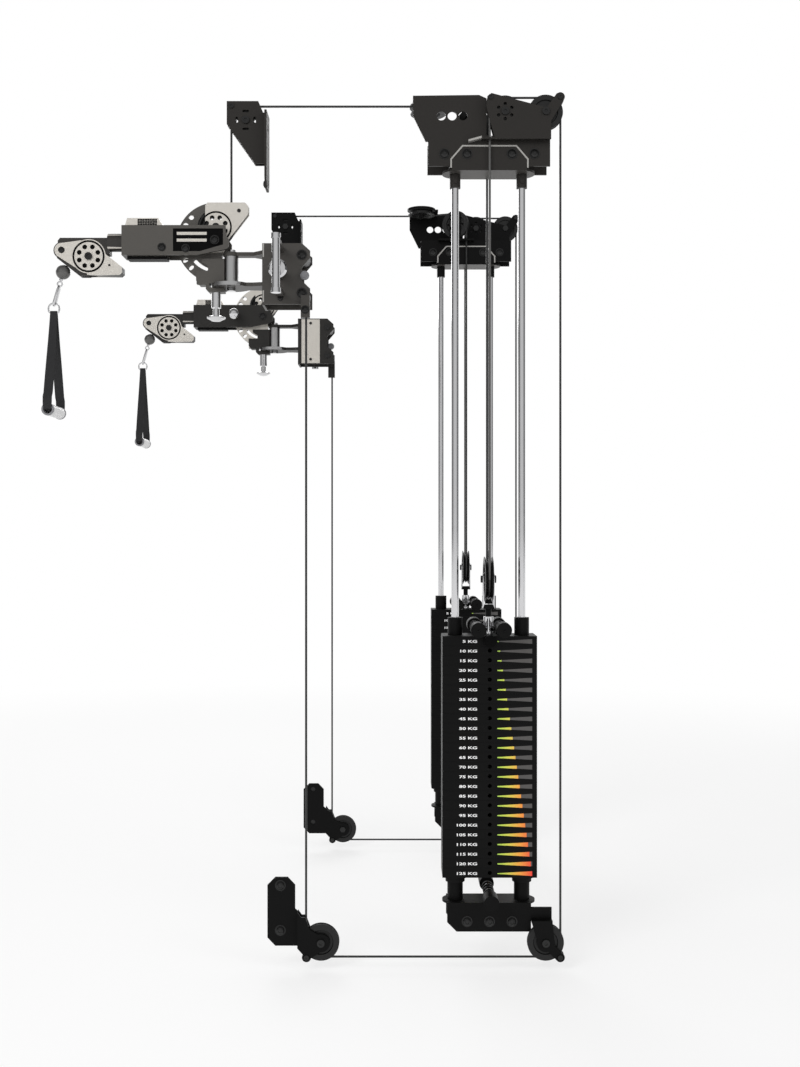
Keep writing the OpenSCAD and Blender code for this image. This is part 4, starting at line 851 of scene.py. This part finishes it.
def cover_ring(shape, x, y, z, out, r):
    """A thin black ring let into a pulley cover."""
    shape.lathe((x, y, z), (0, out, 0), [(38.3, -0.2), (r, -0.2), (r, 0.5), (38.3, 0.5)], 72, closed=True)


def head_trim(side):
    """Black ring round the wheel, black discs down in its holes as painted shade, and the cover's screws."""
    ring, holes, screws = Shape(), Shape(), Shape()
    for y, out in ((-18, -1), (18, 1)):
        cover_ring(ring, HEAD_X, y, HEAD_Z, out, 43.2)
        button(screws, (BALL.x, y, HEAD_Z + 17), (0, out, 0), 7)
        button(screws, (HEAD_X + 56, y, HEAD_Z - 24), (0, out, 0), 2.4)
        for x, z in arc(HEAD_X, HEAD_Z, 27, 22.5, 337.5, 7):
            # Black discs down in the holes: painted shade
            holes.lathe((x, y - out * 3.0, z), (0, out, 0), [(6.45, -0.6), (6.45, 0)], 28)
    recalc(ring.make("head_ring", side, pit, "head", "black_bolt"))
    recalc(holes.make("head_hole_painted_shade", side, pit, "head", "black_bolt"))
    recalc(screws.make("head_screws", side, bolt_black, "head", "black_bolt"))


def pivot_trim(side):
    """The same ring and a screw on the covers of the pivot pulley."""
    ring, screws = Shape(), Shape()
    for y, out in ((-COVER_OUT, -1), (COVER_OUT, 1)):
        cover_ring(ring, PIVOT_X, y, PIVOT_PULLEY_Z, out, 42.8)
        button(screws, (PIVOT_X + 62, y, PIVOT_PULLEY_Z + 44), (0, out, 0), 4)
    recalc(ring.make("pivot_ring", side, pit, "swivel", "black_bolt"))
    recalc(screws.make("pivot_screws", side, bolt_black, "swivel", "black_bolt"))


def arm_trim(side):
    """Pivot caps, side screws, two plain bars in the window and the release's grid of pads."""
    screws = Shape()
    for x, y, z, r in ((PIVOT_X - 142, -34, ARM_Z - 19, 9), (PIVOT_X - 78, -34.2, ARM_Z - 22, 9),
                       (PIVOT_X, -37, ARM_Z, 10), (PIVOT_X, 37, ARM_Z, 10)):
        button(screws, (x, y, z), (0, math.copysign(1, y), 0), r)
    recalc(screws.make("arm_screws", side, bolt_black, "arm", "black_bolt"))
    bars = Shape()
    for z in (ARM_Z - 4, ARM_Z + 14):
        bars.block(PIVOT_X - 102, PIVOT_X - 22, -32.4, -31.4, z, z + 8)
    recalc(bars.make("arm_window_bars", side, champagne, "arm", "champagne", (), 0))
    patch = Shape()
    for column in range(8):
        for row in range(4):
            x, z = PIVOT_X - 208 + 6.6 * column, ARM_Z + 41 + 4.4 * row
            for y in (-28.35, 27.9):
                patch.block(x, x + 6.1, y, y + 0.45, z, z + 3.8)
    recalc(patch.make("release_mesh", side, pit, "arm_release", "black_plastic", (), 0))


for s in SIDES:
    rack_bolts(s)
    notch_edges(s)
    trolley_trim(s)
    head_trim(s)
    pivot_trim(s)
    arm_trim(s)


# Stage, light and camera

def floor_material():
    """Pale floor that keeps the shadows near the object and is white further out, as the backdrop is."""
    mat = material("floor_pale", (0.86, 0.86, 0.86), 0.7, 0, 3, 0.01)
    tree = mat.node_tree
    seen = tree.nodes.new("ShaderNodeLightPath")
    some, rays = tree.nodes.new("ShaderNodeMath"), tree.nodes.new("ShaderNodeMath")
    rays.use_clamp = True
    tree.links.new(seen.outputs["Is Camera Ray"], some.inputs[0])
    tree.links.new(seen.outputs["Is Glossy Ray"], some.inputs[1])
    tree.links.new(some.outputs[0], rays.inputs[0])
    tree.links.new(seen.outputs["Is Transmission Ray"], rays.inputs[1])
    place, far = tree.nodes.new("ShaderNodeTexCoord"), tree.nodes.new("ShaderNodeVectorMath")
    far.operation = "LENGTH"
    tree.links.new(place.outputs["Object"], far.inputs[0])
    share = node_at(tree, "ShaderNodeMapRange", From_Min=1.6, From_Max=6.0, To_Min=0.62, To_Max=1.0)
    share.interpolation_type = "SMOOTHSTEP"
    tree.links.new(far.outputs["Value"], share.inputs["Value"])
    mix, blend = tree.nodes.new("ShaderNodeMath"), tree.nodes.new("ShaderNodeMixShader")
    glow = node_at(tree, "ShaderNodeEmission", Strength=1.0)
    mix.operation = "MULTIPLY"
    tree.links.new(rays.outputs[0], mix.inputs[0])
    tree.links.new(share.outputs["Result"], mix.inputs[1])
    tree.links.new(mix.outputs[0], blend.inputs["Fac"])
    tree.links.new(tree.nodes["Principled BSDF"].outputs["BSDF"], blend.inputs[1])
    tree.links.new(glow.outputs["Emission"], blend.inputs[2])
    tree.links.new(blend.outputs["Shader"], tree.nodes["Material Output"].inputs["Surface"])
    return mat


def stage_plane():
    mesh = bpy.data.meshes.new("floor")
    z, far = -LOWEST / 1000 - 0.001, 60
    mesh.from_pydata([(-far, -far, z), (far, -far, z), (far, far, z), (-far, far, z)], [], [(0, 1, 2, 3)])
    floor = bpy.data.objects.new("floor", mesh)
    bpy.context.scene.collection.objects.link(floor)
    mesh.materials.append(floor_material())


def studio_world():
    """White where the camera looks, and a room with soft dark bands for what the metal reflects."""
    world = bpy.data.worlds.new("studio")
    bpy.context.scene.world = world
    world.use_nodes = True
    tree = world.node_tree
    sky = tree.nodes["Background"]
    place, split = tree.nodes.new("ShaderNodeTexCoord"), tree.nodes.new("ShaderNodeSeparateXYZ")
    span = node_at(tree, "ShaderNodeMapRange", From_Min=-1)
    ramp = tree.nodes.new("ShaderNodeValToRGB")
    stops = ((0.0, 0.72), (0.12, 0.66), (0.27, 0.36), (0.42, 0.1), (0.6, 0.12), (0.75, 0.7), (0.9, 1.0))
    while len(ramp.color_ramp.elements) < len(stops):
        ramp.color_ramp.elements.new(0.5)
    for element, (spot, tone) in zip(ramp.color_ramp.elements, stops):
        element.position = spot
        element.color = (tone, tone, tone, 1)
    tree.links.new(place.outputs["Generated"], split.inputs["Vector"])
    tree.links.new(split.outputs["Y"], span.inputs["Value"])
    tree.links.new(span.outputs["Result"], ramp.inputs["Fac"])
    seen = tree.nodes.new("ShaderNodeLightPath")
    soft, mix = tree.nodes.new("ShaderNodeMix"), tree.nodes.new("ShaderNodeMix")
    soft.data_type = mix.data_type = "RGBA"
    # Inputs 6 and 7 and output 2 of a colour mix are A, B and the result
    tree.links.new(seen.outputs["Is Glossy Ray"], soft.inputs["Factor"])
    soft.inputs[6].default_value = (0.68, 0.68, 0.68, 1)
    tree.links.new(ramp.outputs["Color"], soft.inputs[7])
    tree.links.new(seen.outputs["Is Camera Ray"], mix.inputs["Factor"])
    tree.links.new(soft.outputs[2], mix.inputs[6])
    mix.inputs[7].default_value = (1, 1, 1, 1)
    tree.links.new(mix.outputs[2], sky.inputs["Color"])
    sky.inputs["Strength"].default_value = 1.0


def area(name, place, aim, size, power, mirrored=False):
    """A soft lamp, hidden from shiny surfaces unless mirrored."""
    data = bpy.data.lights.new(name, "AREA")
    data.shape = "RECTANGLE"
    data.size, data.size_y = size
    data.energy = power
    lamp = bpy.data.objects.new(name, data)
    bpy.context.scene.collection.objects.link(lamp)
    lamp.location = place
    lamp.visible_glossy = mirrored
    lamp.rotation_euler = (Vector(aim) - Vector(place)).to_track_quat("-Z", "Y").to_euler()


def camera_of_photo():
    """A level camera with the photo's focal length, solved from the rack's lines."""
    frame_w, frame_h, focal = 800, 1067, 1245
    film = 36.0
    eye_x, eye_z, eye_back = -239, 1160, 3.95
    data = bpy.data.cameras.new("camera")
    data.sensor_fit = "VERTICAL"
    data.sensor_height = film
    data.sensor_width = film * frame_w / frame_h
    data.lens = focal / frame_h * film
    data.clip_end = 200
    camera = bpy.data.objects.new("camera", data)
    bpy.context.scene.collection.objects.link(camera)
    camera.location = ((eye_x - MID_X) / 1000, -eye_back, (eye_z - LOWEST) / 1000)
    camera.rotation_euler = (math.radians(90), 0, 0)
    return camera


stage_plane()
studio_world()
area("key", (-2.5, -4.2, 3.6), (0, 0, 1.1), (2.0, 2.5), 110)
area("fill", (3.4, -3.2, 2.4), (0, 0, 1.2), (1.6, 2.2), 35)
area("rim", (-1.0, 3.6, 3.2), (0, 0, 1.2), (2.5, 1.5), 50, True)
bpy.context.scene.camera = camera_of_photo()
bpy.context.scene.view_settings.view_transform = "Standard"
